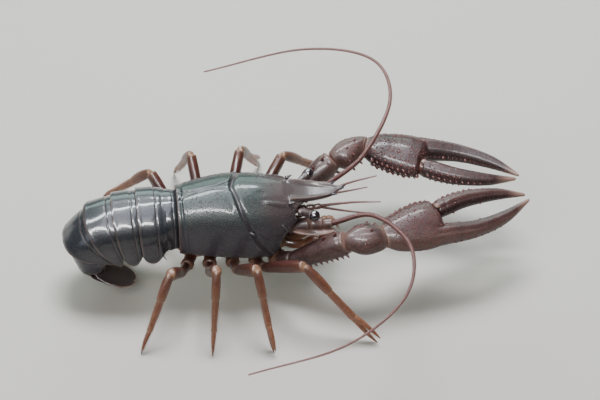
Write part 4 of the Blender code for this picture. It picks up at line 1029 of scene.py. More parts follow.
def makeFan():
    pitch = math.radians(fan["pitch"])
    back, up = backAt(pitch), overAt(pitch)
    start, behind, rise = planes[-1]
    start, sideways = start + behind * gap, np.array((0.0, 1.0, 0.0))
    size = fan["telson"]
    hinge = lambda rows, y: -0.22 * bell(rows, 0.62 + 0.03 * y * y, 0.018)
    furrows = lambda rows, y: hinge(rows, y) - 0.28 * bell(np.abs(y), 0.5, 0.1) * (1 - ramp(rows, 0.5, 0.62))
    path = (start + rise * size["height"], back, sideways, up, size["bend"])
    telson, rim = bladeMesh(path, size["length"], size["halfWidth"], size["thickness"], 0.92, 4.0, furrows)
    thorns = []
    for far, out in fan["telsonSpines"]:  # two pairs of side spines
        centre, wide, over = bladePath(*path, far)
        for side in sides.values():
            thorns.append((centre + wide * out * side + over * 0.1, back + wide * 0.35 * side, 0.32, 1.3))
    finishPiece("telsonPlate", [telson, growThorns(thorns, "wetShellCuticle", 1.3)], "shell", "telson")
    rims = [rim]
    for sideName, side in sides.items():
        for which in ("inner", "outer"):
            size = fan[which]
            splay = math.radians(size["splay"]) * side
            along = back * math.cos(splay) + sideways * math.sin(splay)
            across = sideways * math.cos(splay) - back * math.sin(splay)
            root = start + rise * size["height"] + sideways * (size["root"] * side)
            path = (root, along, across, up, size["bend"])
            depth = 0.26 if which == "outer" else 0.0  # only the outer blade has a seam
            seam = lambda rows, y: -depth * bell(rows, 0.66 - 0.05 * y * side, 0.018)
            blade, rim = bladeMesh(path, size["length"], size["halfWidth"], fan["thickness"], 0.34, 2.4, seam)
            meshes = [blade]
            if which == "outer":  # small spines along the seam and one at the corner, and both blades' stem
                thorns, row = [], fan["seamSpines"]
                for k in np.arange(row["count"]) - row["count"] // 2:
                    centre, wide, over = bladePath(*path, size["length"] * (row["along"] - row["curve"] * k))
                    centre = centre + wide * (k * row["apart"]) + over * 0.35
                    thorns.append((centre, along + over * 0.2, 0.2, 0.75))
                far, out = fan["cornerSpine"]
                centre, wide, over = bladePath(*path, size["length"] * far)
                thorns.append((centre + wide * (out * side), along + wide * 0.3 * side, 0.34, 1.4))
                meshes.append(growThorns(thorns, "wetShellCuticle", 1.3))
                foot = start + rise * -0.2 + sideways * (fan["stemOut"] * side)
                ends = foot - behind * 1.4, foot + behind * 1.1 + along * 1.8
                size = fan["stemWidth"], fan["stemHeight"]
                how = {"up": rise, "bow": behind * 0.4, "rings": 30, "around": 30, "dome": 0.6}
                meshes.append(segment("stem", *ends, *size, "wetShellCuticle", **how, tone=0.75, pale=0.35))
            label = f"{which.capitalize()}{sideName.capitalize()}"
            finishPiece(f"uropod{label}", meshes, "shell", f"uropod_{which}_{sideName}")
            rims.append(rim)
    finishPiece("tailBristles", [growBristles(rims, 0.11, fan["bristle"], 0.035, 23, 0.12)], "shell")


makeFan()
print("tail fan done")


# Underside of the thorax: breastplate, first joints of the limbs, jaws

under = {
    "coxaX": (10.2, 3.6, -3.0, -9.4, -15.4), "heading": (22, 14, 4, -8, -22),
    "radius": (3.0, 2.2, 2.2, 2.2, 2.1),
    "coxaY": 3.0, "coxaZ": 12.35, "reach": 6.6, "jawX": 15.4,
    "knob": ((0, 0.80), (0.25, 0.95), (0.5, 0.9), (0.6, 0.86), (0.72, 1.04), (0.9, 1.02), (1, 0.86)),
    "breastHalf": ((-18, 3.6), (-15, 5.0), (-5, 5.6), (7, 5.4), (12.5, 5.0), (15.4, 4.6)),
    "breastLow": ((-18, 12.6), (-15, 10.6), (-5, 10.2), (7, 10.0), (12.5, 10.2), (15.4, 11.2)),
    "breastHigh": ((-18, 17.6), (-15, 17.4), (-5, 17.2), (7, 17.6), (12.5, 18.0), (15.4, 18.2)),
    "seams": (12.6, 6.9, 0.3, -6.2, -12.4),  # between the breast's five plates
    "jaw": ((13.4, 2.0, 17.6), (18.6, 1.35, 21.8)), "jawWidth": ((0, 1.6), (0.5, 1.9), (0.85, 1.3), (1, 0.8)),
    "jawHeight": ((0, 1.6), (0.5, 1.8), (0.85, 1.1), (1, 0.6)),
    "jawFeet": (  # (route, half width, half thickness) of the left ones, from the inside out
        (((17.6, 4.6, 18.4), (20.6, 4.4, 20.6), (22.2, 3.0, 22.6), (22.6, 1.2, 23.2)), 0.95, 0.5),
        (((16.8, 3.9, 17.2), (20.6, 3.7, 18.6), (23.0, 2.6, 20.8), (23.6, 0.9, 21.4)), 1.05, 0.55),
        (((15.6, 2.6, 16.2), (20.2, 2.5, 16.2), (23.6, 2.1, 18.2), (24.2, 0.8, 20.0)), 1.2, 0.6),
    ),
    "jawFoot": (
        (0, 0.5), (0.12, 0.95), (0.45, 1.0), (0.52, 0.88), (0.6, 0.95), (0.78, 0.8), (0.84, 0.66), (0.9, 0.7),
        (1, 0.12),
    ),
    "rod": ((-21.6, 2.6, 19.6), (-19.4, 2.2, 14.0), (-16.6, 1.5, 9.6), (-12.6, 1.15, 9.1), (-8.6, 0.95, 9.3)),
    "rodWidth": ((0, 0.3), (0.05, 0.95), (0.3, 0.8), (0.6, 0.72), (0.9, 0.5), (1, 0.12)),
    "epistome": {"half": ((0, 0.9), (0.5, 1.5), (1, 0.9)), "tall": ((0, 0.5), (0.5, 0.8), (1, 0.5))},
}


def coxaFrame(limb, side):  # the middle of a coxa's outer face, and the way its limb leaves
    heading = math.radians(under["heading"][limb])
    out = np.array((math.sin(heading), side * math.cos(heading), 0.0))
    return np.array((under["coxaX"][limb], side * under["coxaY"], under["coxaZ"])) + out * under["reach"], out


faceTop, faceBottom = shield["top"][-1][1], shield["bottom"][-1][1]
faceLean = -shield["lean"][-1][1] / (faceTop - faceBottom)
faceWay = unit((1, 0, -faceLean))


def facePoint(y, z):  # on the flat front of the shield
    return np.array((shield["front"] - faceLean * (faceTop - z), y, z))


def makeUnderside():
    place = np.linspace(-18.0, under["jawX"], 150)
    half, low, high = (smoothAt(under[word], place) for word in ("breastHalf", "breastLow", "breastHigh"))
    seams = sum(bell(place, seam, 0.32) for seam in under["seams"])
    plates = -0.55 * seams + 0.2 * np.cos((place + 15.4) / 6.5 * 2 * math.pi)
    path = np.stack((place, np.zeros_like(place), (low + high) / 2), axis=1)
    below = 1.5 * math.pi
    keelSides = lambda turns: 0.05 * bell(np.abs(turns - below), 0.42, 0.16)
    keel = lambda turns, _: 1 - 0.16 * bell(turns, below, 0.13) + keelSides(turns)
    grid = sweep(path, half + plates, (high - low) / 2 + plates * 0.6, around=64, swell=keel)
    looks = {"tone": (0.15 + 0.7 * seams)[:, None], "fore": 0.4, "pale": (0.4 - 0.35 * seams)[:, None]}
    made, hairs = [gridMesh("breastplate", grid, "bellyCuticle", **looks)], []
    for limb, radius in enumerate(under["radius"]):
        for side in sides.values():
            face, out = coxaFrame(limb, side)
            inner = face - out * (under["reach"] - 0.4)
            size = scaled(under["knob"], radius)
            how = {"rings": 40, "around": 26, "dome": 0.5, "pale": 0.25, "fore": 0.0}
            # The coxae darken outward to the darkest wine colour: partly their real reddish colour, partly
            # painted shade under the body.
            how["tone"] = lambda share: 0.3 + 0.7 * ramp(share, 0.3, 0.6)
            made.append(segment("coxa", inner, face + out * 0.05, size, size, "legCuticle", **how))
            ends, size = (face - out * 2.4, face - out * 1.2), ((0, radius * 0.93), (1, radius * 0.93))
            how = {"rings": 10, "around": 22, "dome": 0.3, "tone": 0.0, "fore": 0.6}
            made.append(segment("seam", *ends, size, size, "bellyCuticle", **how))
            turns, ring = np.linspace(0, 2 * math.pi, 40)[:, None], face - out * 0.9
            across = unit(np.cross(out, upward))
            loop = ring + across * (np.cos(turns) * radius) + upward * (np.sin(turns) * radius)
            hairs.append((loop, unit(loop - ring) + out * 0.8))
    for side in sides.values():  # the hard jaws, and three layers of jaw feet folded over them
        ends = (mirrored(end, side) for end in under["jaw"])
        size = under["jawWidth"], under["jawHeight"]
        how = {"rings": 34, "around": 26, "tone": 0.9, "pale": 0.1}
        how["fore"] = lambda share: 0.5 * ramp(share, 0.7, 1.0)
        how["stud"] = lambda share: 0.8 * ramp(share, 0.8, 0.95)
        made.append(segment("jaw", *ends, *size, "legCuticle", **how))
        teeth, aim = [], (0.8, -0.5 * side, 0.35)
        for k in range(5):
            teeth.append(((18.2 + 0.28 * k, (0.3 + 0.12 * k) * side, 20.8 + 0.35 * k), aim, 0.3, 0.7))
        made.append(growThorns(teeth, "legCuticle", 1.6))
        for route, wide, flat in under["jawFeet"]:
            line = routePoints([mirrored(point, side) for point in route], 40)
            share = np.linspace(0, 1, len(line))
            fat = smoothAt(under["jawFoot"], share)
            grid = sweep(line, fat * wide, fat * flat, up=(0.3, 0.5 * side, 0.8), around=18)
            looks = {"tone": (0.8 - 0.4 * share)[:, None], "fore": (0.2 + 0.6 * share)[:, None], "pale": 0.15}
            looks["stud"] = (0.7 * bell(share, 0.52, 0.03))[:, None]
            made.append(gridMesh("jawFoot", grid, "legCuticle", **looks))
            line, ahead = line[8:39], unit(np.gradient(line, axis=0))[8:39]
            hairs.append((line + np.array((0.25, 0, 0.2)), ahead + np.array((0.5, -0.5 * side, 0.25))))
            hairs.append((line + np.array((0.2, 0, -0.3)), ahead + np.array((0.5, -0.6 * side, -0.4))))
        gland, size = facePoint(5.0 * side, 22.8), ((0, 1.0), (1, 0.55))
        ends = gland - faceWay * 0.8, gland + faceWay * 0.9
        how = {"rings": 20, "around": 20, "dome": 0.5, "tone": 0.6, "fore": 0.6}
        made.append(segment("gland", *ends, size, size, "legCuticle", **how))
    for side in sides.values():  # the male's first two swimmerets, hard rods that lie under the breast
        line = routePoints([mirrored(point, side) for point in under["rod"]], 60)
        share = np.linspace(0, 1, len(line))
        fat = smoothAt(under["rodWidth"], share) * (1 - 0.12 * bell(share, 0.36, 0.02))
        grid = sweep(line, fat * 0.8, fat, up=(0, side, 0), around=20)
        made.append(gridMesh("rod", grid, "bellyCuticle", tone=0.6, fore=0.7, pale=(0.5 * share)[:, None]))
    ends = (facePoint(0, 25.6) + (-0.7, y, -0.4) for y in (-3.6, 3.6))
    how = {**under["epistome"], "rings": 30, "around": 20, "tone": 0.5, "fore": 0.5}
    made.append(segment("epistome", *ends, finish="bellyCuticle", **how))
    finishPiece("thoraxUnderside", made, "belly", "thorax_underside")
    finishPiece("undersideBristles", [growBristles(hairs, 0.25, 0.9, 0.035, 24)], "belly")


makeUnderside()
print("underside done")


# Claw arms

claw = {
    "elbow": {"left": (34.0, 21.2, 26.4), "right": (34.6, 16.2, 26.0)},
    "wrist": {"left": (45.2, 24.6, 27.4), "right": (46.2, 15.8, 26.4)},
    "tip": {"left": (96.4, 7.0, 25.0), "right": (97.0, 1.2, 25.0)},
    "roll": {"left": 3, "right": 16}, "length": 52.0, "palm": (-0.6, 20.8), "fingerRoot": 14,
    "dactyl": (19.9, 51.2), "ovalPoints": 56, "hinge": (20.0, 4.4),  # (down the hand, sideways)
    "palmWidth": ((0, 3.7), (4, 6.3), (13, 8.4), (19.6, 8.1)),
    "palmDepth": ((0, 3.3), (5, 4.8), (14, 5.2), (19.6, 4.6)),
    "fingerMiddle": ((14, -4.2), (20.9, -5.0), (31, -6.0), (42, -4.6), (52, -0.9)),
    "fingerWidth": ((14, 3.6), (20.9, 3.4), (31, 2.8), (42, 2.1), (52, 0.5)),
    "fingerDepth": ((14, 4.1), (20.9, 4.0), (31, 3.1), (42, 2.2), (52, 0.5)),
    "dactylMiddle": ((21, 4.4), (31, 5.4), (42, 4.1), (51.2, 1.1)),
    "dactylWidth": ((21, 3.0), (26, 3.0), (42, 2.0), (51.2, 0.5)),
    "dactylDepth": ((21, 3.2), (26, 3.3), (42, 2.1), (51.2, 0.5)),
    "outerMiddle": ((0, 0), (20, -1), (31, -6.0), (42, -4.6), (52, -0.9)),  # of palm and finger together
    "outerHalf": ((0, 3.7), (13, 8.4), (22, 7), (31, 2.8), (42, 2.1), (52, 0.6)),
    # The amount of painted shade over each whole claw: much more on the far (left) claw than on the near one.
    "skinStep": 0.24, "sideShade": {"left": 0.8, "right": 0.25},
    "tubercles": ((-30, 0.72), (-12, 0.78), (6, 0.72), (24, 0.6), (42, 0.5), (60, 0.42)),  # (turn, radius)
    "handTeeth": {"start": 21.6, "end": 49.5, "size": 0.42, "big": (3, 8), "bigger": 1.9, "taper": 1.25},
    "dactylTeeth": {"start": 22.8, "end": 49, "size": 0.40, "big": (2, 9), "bigger": 1.8, "taper": 1.2},
}
arm = {
    "ischiumWidth": ((0, 2.2), (0.3, 2.5), (0.8, 2.75), (1, 2.3)),
    "ischiumHeight": ((0, 2.2), (0.3, 2.6), (0.8, 3.05), (1, 2.6)),
    "merusWidth": ((0, 2.2), (0.08, 2.75), (0.2, 2.9), (0.45, 3.35), (0.75, 3.8), (0.92, 3.75), (1, 3.2)),
    "merusHeight": ((0, 2.6), (0.08, 3.1), (0.2, 3.3), (0.45, 3.9), (0.75, 4.5), (0.92, 4.3), (1, 3.6)),
    "carpusWidth": (
        (0, 2.4), (0.07, 3.0), (0.14, 3.6), (0.30, 4.9), (0.5, 5.4), (0.72, 5.0), (0.9, 4.3), (1, 3.7),
    ),
    "carpusHeight": (
        (0, 2.6), (0.07, 3.3), (0.14, 3.8), (0.30, 4.6), (0.5, 5.0), (0.72, 4.8), (0.9, 4.2), (1, 3.5),
    ),
    "carpusSpines": (  # (share, turn, reach, size)
        (0.62, 5, 5.2, 0.8), (0.56, 40, 5.0, 0.6), (0.42, 72, 4.8, 0.5), (0.58, -35, 5.0, 0.7),
        (0.66, 100, 4.75, 0.5),
        (0.78, 22, 4.7, 0.5), (0.45, 20, 5.0, 0.45), (0.8, -15, 4.7, 0.55), (0.74, 62, 4.7, 0.4),
    ),
}


def clawFrame(sideName, side):  # wrist, way along, way to the moving finger, way up
    origin = mirrored(claw["wrist"][sideName], side)
    along = unit(mirrored(claw["tip"][sideName], side) - origin)
    inner = np.array((0.0, -side, 0.0))
    inner = unit(inner - along * (inner @ along))
    up = np.cross(inner, along) if side > 0 else np.cross(along, inner)
    roll = math.radians(claw["roll"][sideName])
    towards, over = inner * math.cos(roll) + up * math.sin(roll), up * math.cos(roll) - inner * math.sin(roll)
    return origin, along, towards, over


def clawGrid(frameAxes, place, middle, half, deep, around, swell=None):
    origin, along, towards, up = frameAxes
    turns = fullTurn(around)
    grown = swell(turns, place[:, None]) if swell else 1.0
    centre = origin + along * place[:, None] + towards * middle[:, None]
    inward = towards * (half[:, None] * np.cos(turns) * grown)[..., None]
    return centre[:, None] + inward + up * (deep[:, None] * np.sin(turns) * grown)[..., None]


def fingerRidges(turns, _):  # a ridge along the top and the bottom between two furrows
    shaped = 1.0
    for crest in (0.5 * math.pi, 1.5 * math.pi):
        shaped = shaped + 0.055 * bell(turns, crest, 0.16)
        shaped = shaped - 0.06 * bell(turns, crest + 0.42, 0.13) - 0.06 * bell(turns, crest - 0.42, 0.13)
    return shaped


def toothRow(axes, teeth, middle, half, way):  # teeth along a biting edge, on the side that way gives
    origin, along, towards, _ = axes
    at, step, row = teeth["start"], 0, []
    while at < teeth["end"]:
        size = teeth["size"] * (1 - 0.45 * (at - 21) / 30)
        size *= teeth["bigger"] if step in teeth["big"] else 1.0
        edge = float(smoothAt(middle, at) + way * (smoothAt(half, at) - 0.12))
        row.append((origin + along * at + towards * edge, towards * way, size, size * teeth["taper"]))
        at += 1.15 + size * 0.7
        step += 1
    return row


def makeArm(sideName, side):
    face, out = coxaFrame(0, side)
    elbow = mirrored(claw["elbow"][sideName], side)
    hip = face + out * 2.5 + np.array((1.2, 0, 0.6))
    line = unit(elbow - hip)
    across = unit(np.cross(line, upward))
    top = np.cross(across, line)
    size = arm["ischiumWidth"], arm["ischiumHeight"]
    ends = face - out * 0.5, hip + line * 3.0
    meshes = [segment("ischium", *ends, *size, "clawCuticle", tone=0.45, fore=0.2)]
    size = arm["merusWidth"], arm["merusHeight"]
    threeEdged = lambda turns: 0.05 * np.cos(3 * (turns + math.pi / 2))
    how = {"rings": 80, "around": 48, "dome": 0.6}
    how["swell"] = lambda turns, share: 1 + threeEdged(turns) - 0.05 * bell(share, 0.93, 0.02)
    how |= {"tone": lambda share: 0.35 + 0.4 * share, "fore": lambda share: 0.7 * share}
    meshes.append(segment("merus", hip + line * 1.6, elbow - line * 0.1, *size, "clawCuticle", **how))
    length = np.linalg.norm(elbow - hip)
    thorns = []
    for share in (0.72, 0.9):
        thorns.append((hip + line * length * share + top * 4.25, line + top, 0.62, 1.5))
    for share in np.linspace(0.26, 0.92, 9):
        reach = 2.9 + 1.25 * share
        size = 0.42 + 0.14 * share, 1.0 + 0.5 * share
        for lean in (1, -1):
            low = unit(across * lean * 0.7 - top * 0.75)
            thorns.append((hip + line * length * share + low * reach, low + line * 0.5, *size))
    meshes.append(growThorns(thorns, "clawCuticle", 1.5))
    finishPiece(f"arm{sideName.capitalize()}", meshes, "claw", f"arm_{sideName}")


def makeWrist(sideName, side):
    elbow, wrist = mirrored(claw["elbow"][sideName], side), mirrored(claw["wrist"][sideName], side)
    face, _ = coxaFrame(0, side)
    bend = unit(unit(elbow - face) + unit(wrist - elbow))
    along = clawFrame(sideName, side)[1]
    share = endShares(70)
    start, end = elbow - bend * 0.7, wrist + along * 0.1
    fromEnd = np.minimum(share, 1 - share) * np.linalg.norm(end - start)
    closing = roundedEnd(fromEnd, 0.6, 0.05)
    half, tall = ((smoothAt(arm[word], share) * closing)[:, None] for word in ("carpusWidth", "carpusHeight"))
    heading = unit(bend * (1 - share)[:, None] + along * share[:, None])
    across = unit(np.cross(heading, upward))
    over = np.cross(across, heading)
    turns, rows = fullTurn(56)[None, :], share[:, None]
    furrow = 1 - 0.075 * bell(turns, math.pi / 2 + 0.25 * side, 0.14) * bell(rows, 0.55, 0.3)
    furrow = furrow - 0.03 * bell(rows, 0.92, 0.015)
    centre, across, over = (vectors[:, None] for vectors in (start + (end - start) * rows, across, over))
    grid = centre + across * (half * np.cos(turns) * furrow)[..., None]
    grid = grid + over * (tall * np.sin(turns) * furrow)[..., None]
    # Painted shade: tone is lower on the underside of the wrist.
    looks = {"tone": 0.5 + 0.35 * np.sin(turns), "fore": 0.9, "pale": (0.5 * np.exp(-fromEnd / 0.7))[:, None]}
    looks["studs"] = 0.8 * ramp(np.sin(turns), -0.2, 0.4) * bell(rows, 0.55, 0.3)
    body = growStuds(gridMesh("carpus", grid, "clawCuticle", **looks), "clawCuticle", 0.95, 0.26, 0.17, 31)
    line, inner, thorns = unit(end - start), np.array((0, -side, 0)), []
    for place, turn, reach, size in arm["carpusSpines"]:
        way = inner * math.cos(math.radians(turn)) + upward * math.sin(math.radians(turn))
        thorns.append((start + (end - start) * place + way * reach, way + line * 0.6, size * 0.8, size * 1.9))
    meshes = [body, growThorns(thorns, "clawCuticle", 1.6)]
    finishPiece(f"wrist{sideName.capitalize()}", meshes, "claw", f"wrist_{sideName}")


def makeHand(sideName, side):
    axes = clawFrame(sideName, side)
    origin, along, towards, up = axes
    rear, front = claw["palm"]
    place = rear + (front - rear) * endShares(64, 0.7)
    closing = roundedEnd(np.minimum(place - rear, (front - place) / 3.2), 0.8, 0.06)
    half, deep = (smoothAt(claw[word], place) * closing for word in ("palmWidth", "palmDepth"))
    palm = gridMesh("palm", clawGrid(axes, place, np.zeros_like(place), half, deep, 64), "clawCuticle")
    run = claw["fingerRoot"] + (claw["length"] - claw["fingerRoot"]) * endShares(90, 0.3)
    closing = roundedEnd(claw["length"] - run, 0.6, 0.1)
    half, deep = (smoothAt(claw[word], run) * closing for word in ("fingerWidth", "fingerDepth"))
    middle, around = smoothAt(claw["fingerMiddle"], run), claw["ovalPoints"]
    grid = clawGrid(axes, run, middle, half, deep, around, fingerRidges)
    finger = gridMesh("finger", grid, "clawCuticle")
    skin = blendShapes([palm, finger], "clawCuticle", claw["skinStep"], 5)
    points, normals = readPoints(skin), readNormals(skin)
    local = points - origin
    down, sidewise = local @ along, local @ towards
    hingeDown, hingeOut = claw["hinge"]
    far = np.hypot(down - hingeDown - 0.6, sidewise - hingeOut)
    knuckle = bell(far, 0, 2.6)  # a dent for the moving finger's root
    writePoints(skin, points - normals * (0.9 * knuckle * ramp(normals @ along, 0.1, 0.6))[:, None])
    # Painted shade: tone is lower on faces that point down, lower over the whole far claw, and lower in the
    # fork between the fingers. Painted highlight: the outer edge stays pale mauve as a rim highlight.
    outer, sideShade = ramp(-sidewise, -1.0, 7.0), claw["sideShade"][sideName]
    outward = (smoothAt(claw["outerMiddle"], down) - sidewise) / smoothAt(claw["outerHalf"], down)
    edge = ramp(outward, 0.25, 0.8)
    tip, shade = ramp(down, 45, 51.5), ramp(normals @ up, -0.5, 0.7)
    forkShade = ramp(down, 19.5, 22) * ramp(normals @ towards, 0.1, 0.7)
    tone = np.clip((0.2 + 0.75 * shade) * (1 - sideShade * (1 - edge)) - 0.5 * forkShade, 0, 1)
    fore = np.clip(0.3 * (1 - sideShade) + 0.9 * edge - 0.5 * forkShade, 0, 1)
    pale = np.clip(0.75 * tip + 0.4 * (1 - ramp(down, 0.1, 1.2)), 0, 1)
    studs = 0.75 * ramp(normals @ up, -0.7, 0.1) * ramp(down, 1.5, 4) * (1 - 0.75 * ramp(down, 19, 30))
    studs = studs * (1 - ramp(down, 40, 44)) * (1 - forkShade) * (1 - 0.5 * outer)
    paintMasks(skin, tone=tone, fore=fore, pale=pale, stud=0.0, studs=studs)
    skin = growStuds(skin, "clawCuticle", 0.85, 0.30, 0.19, 41)
    thorns = []
    for row, (turn, radius) in enumerate(claw["tubercles"]):  # along the inner edge of the palm
        angle = math.radians(turn)
        for step in range(9 - row // 2):
            at = 3.4 + 0.9 * (row % 2) + step * 1.85
            half, deep = float(smoothAt(claw["palmWidth"], at)), float(smoothAt(claw["palmDepth"], at))
            reach = towards * (half * math.cos(angle)) + up * (deep * math.sin(angle))
            size = radius * (0.85 + 0.15 * math.sin(step * 2.3 + row))
            size = size, size * (1.35 - 0.12 * row)
            thorns.append((origin + along * at + reach, unit(reach) + along * 0.55, *size))
    thorns += toothRow(axes, claw["handTeeth"], claw["fingerMiddle"], claw["fingerWidth"], 1)
    for at in np.arange(22, 40, 2.4):  # a few along the outer edge
        reach = -towards * float(smoothAt(claw["fingerWidth"], at) - smoothAt(claw["fingerMiddle"], at))
        thorns.append((origin + along * at + reach, along * 0.6 - towards, 0.4, 0.4))
    hinge = origin + along * hingeDown + towards * hingeOut
    ends, size = (hinge - along * 1.2, hinge + along * 1.5), (((0, 2.5), (1, 2.3)), ((0, 2.7), (1, 2.5)))
    how = {"up": up, "rings": 20, "around": 30, "dome": 0.9, "tone": 0.8, "fore": 0.0, "pale": 0.1}
    meshes = [segment("hingeSkin", *ends, *size, "legCuticle", **how)]
    size = ((0, 1.15), (1, 1.15)), ((0, 1.2), (1, 1.2))
    how = {"up": along, "rings": 20, "around": 24, "dome": 0.9, "tone": 0.6, "fore": 0.5}
    for lift in (1, -1):  # a knob above and below that the moving finger turns on
        knob = hinge + along * 0.5 + up * (lift * 2.5)
        meshes.append(segment("knob", knob - up * 0.9, knob + up * 0.9, *size, "clawCuticle", **how))
    meshes += [skin, growThorns(thorns, "clawCuticle", 2.0)]
    finishPiece(f"hand{sideName.capitalize()}", meshes, "claw", f"hand_{sideName}")


def makeDactyl(sideName, side):
    axes = clawFrame(sideName, side)
    origin, along, towards, up = axes
    root, tip = claw["dactyl"]
    run = root + (tip - root) * endShares(110, 0.4)
    closing = roundedEnd(np.minimum((run - root) / 1.2, (tip - run) / 0.6), 1, 0.1)
    half, deep = (smoothAt(claw[word], run) * closing for word in ("dactylWidth", "dactylDepth"))
    swell = lambda turns, place: fingerRidges(turns, place) - 0.05 * bell(place, 23.2, 0.35)
    middle, around = smoothAt(claw["dactylMiddle"], run), claw["ovalPoints"]
    grid = clawGrid(axes, run, middle, half, deep, around, swell)
    # Painted shade: tone is lower on faces that point down, lower over the whole far finger, and lower on the
    # side that faces the fixed finger.
    turns, rows, sideShade = fullTurn(around)[None, :], run[:, None], claw["sideShade"][sideName]
    forkShade, shade = ramp(-np.cos(turns), 0.2, 0.9), ramp(np.sin(turns), -0.5, 0.7)
    tone = np.clip((0.2 + 0.75 * shade) * (1 - 0.7 * sideShade) - 0.45 * forkShade, 0, 1)
    fore = np.clip(0.5 - 0.4 * sideShade - 0.5 * forkShade, 0, 1)
    studs = 0.6 * ramp(np.sin(turns), -0.4, 0.2) * (1 - ramp(rows, 27, 36)) * ramp(rows, 22, 23.5)
    studs = studs * (1 - forkShade)
    looks = {"tone": tone, "fore": fore, "pale": 0.75 * ramp(rows, 44, 50.5), "studs": studs}
    body = growStuds(gridMesh("dactyl", grid, "clawCuticle", **looks), "clawCuticle", 0.9, 0.28, 0.17, 43)
    thorns = []
    for row, lift in enumerate((0.0, 0.55, -0.5)):
        for at in np.arange(22.6 + 0.8 * (row > 0), 41 - 6 * (row > 0), 1.95):
            words = "dactylMiddle", "dactylWidth", "dactylDepth"
            middle, half, deep = (float(smoothAt(claw[word], at)) for word in words)
            reach = towards * (middle + half * math.cos(lift)) + up * (deep * math.sin(lift))
            size = (0.6 - 0.1 * (row > 0)) * (1 - 0.3 * (at - 22) / 20)
            aim = towards * math.cos(lift) + up * math.sin(lift) + along * 0.5
            thorns.append((origin + along * at + reach, aim, size, size * 1.3))
    thorns += toothRow(axes, claw["dactylTeeth"], claw["dactylMiddle"], claw["dactylWidth"], -1)
    meshes = [body, growThorns(thorns, "clawCuticle", 2.0)]
    finishPiece(f"movingFinger{sideName.capitalize()}", meshes, "claw", f"moving_finger_{sideName}")


for sideName, side in sides.items():
    makeArm(sideName, side)
    makeWrist(sideName, side)
    makeHand(sideName, side)
    makeDactyl(sideName, side)
print("claw arms done")


# Walking legs

legs = {
    "knee": {
        "left": ((17.5, 26.0, 25.5), (3.5, 28.5, 27.0), (-13.0, 28.5, 26.5), (-27.0, 24.0, 24.0)),
        "right": ((19.5, 26.0, 26.0), (4.0, 26.5, 26.5), (-9.0, 26.0, 27.0), (-24.0, 23.0, 24.0)),
    },
    "tip": {
        "left": ((36.0, 41.0), (11.5, 47.0), (-18.0, 46.0), (-43.0, 37.0)),
        "right": ((42.0, 38.0), (8.0, 39.0), (-12.0, 38.5), (-35.0, 35.0)),
    },
    "pincers": (0, 1), "flat": 0.86,
    "ischium": ((0, 1.45), (0.15, 1.75), (0.6, 1.72), (0.85, 1.82), (1, 1.5)),
    "merus": ((0, 1.3), (0.07, 1.68), (0.3, 1.95), (0.6, 2.2), (0.86, 2.12), (0.96, 1.85), (1, 1.5)),
    "carpus": ((0, 1.1), (0.12, 1.5), (0.45, 1.8), (0.85, 1.72), (0.95, 1.55), (1, 1.3)),
    "pincerPalm": ((0, 1.0), (0.08, 1.35), (0.4, 1.45), (0.8, 1.5), (1, 1.25)),
    "propodus": ((0, 1.0), (0.08, 1.35), (0.4, 1.32), (0.85, 1.08), (0.95, 1.1), (1, 0.85)),
    "finger": ((0, 0.95), (0.3, 0.92), (0.75, 0.6), (1, 0.14)),
    "dactyl": ((0, 0.78), (0.15, 0.92), (0.6, 0.64), (0.9, 0.28), (1, 0.1)),
    "spines": ((0.55, -1), (0.68, -1), (0.8, -1), (0.93, 1), (0.93, -1)),  # (share, above or below)
    "hairReach": ((0.33, 1.1), (0.45, 1.3), (0.7, 0.98), (0.8, 0.72), (0.95, 0.28)),
}


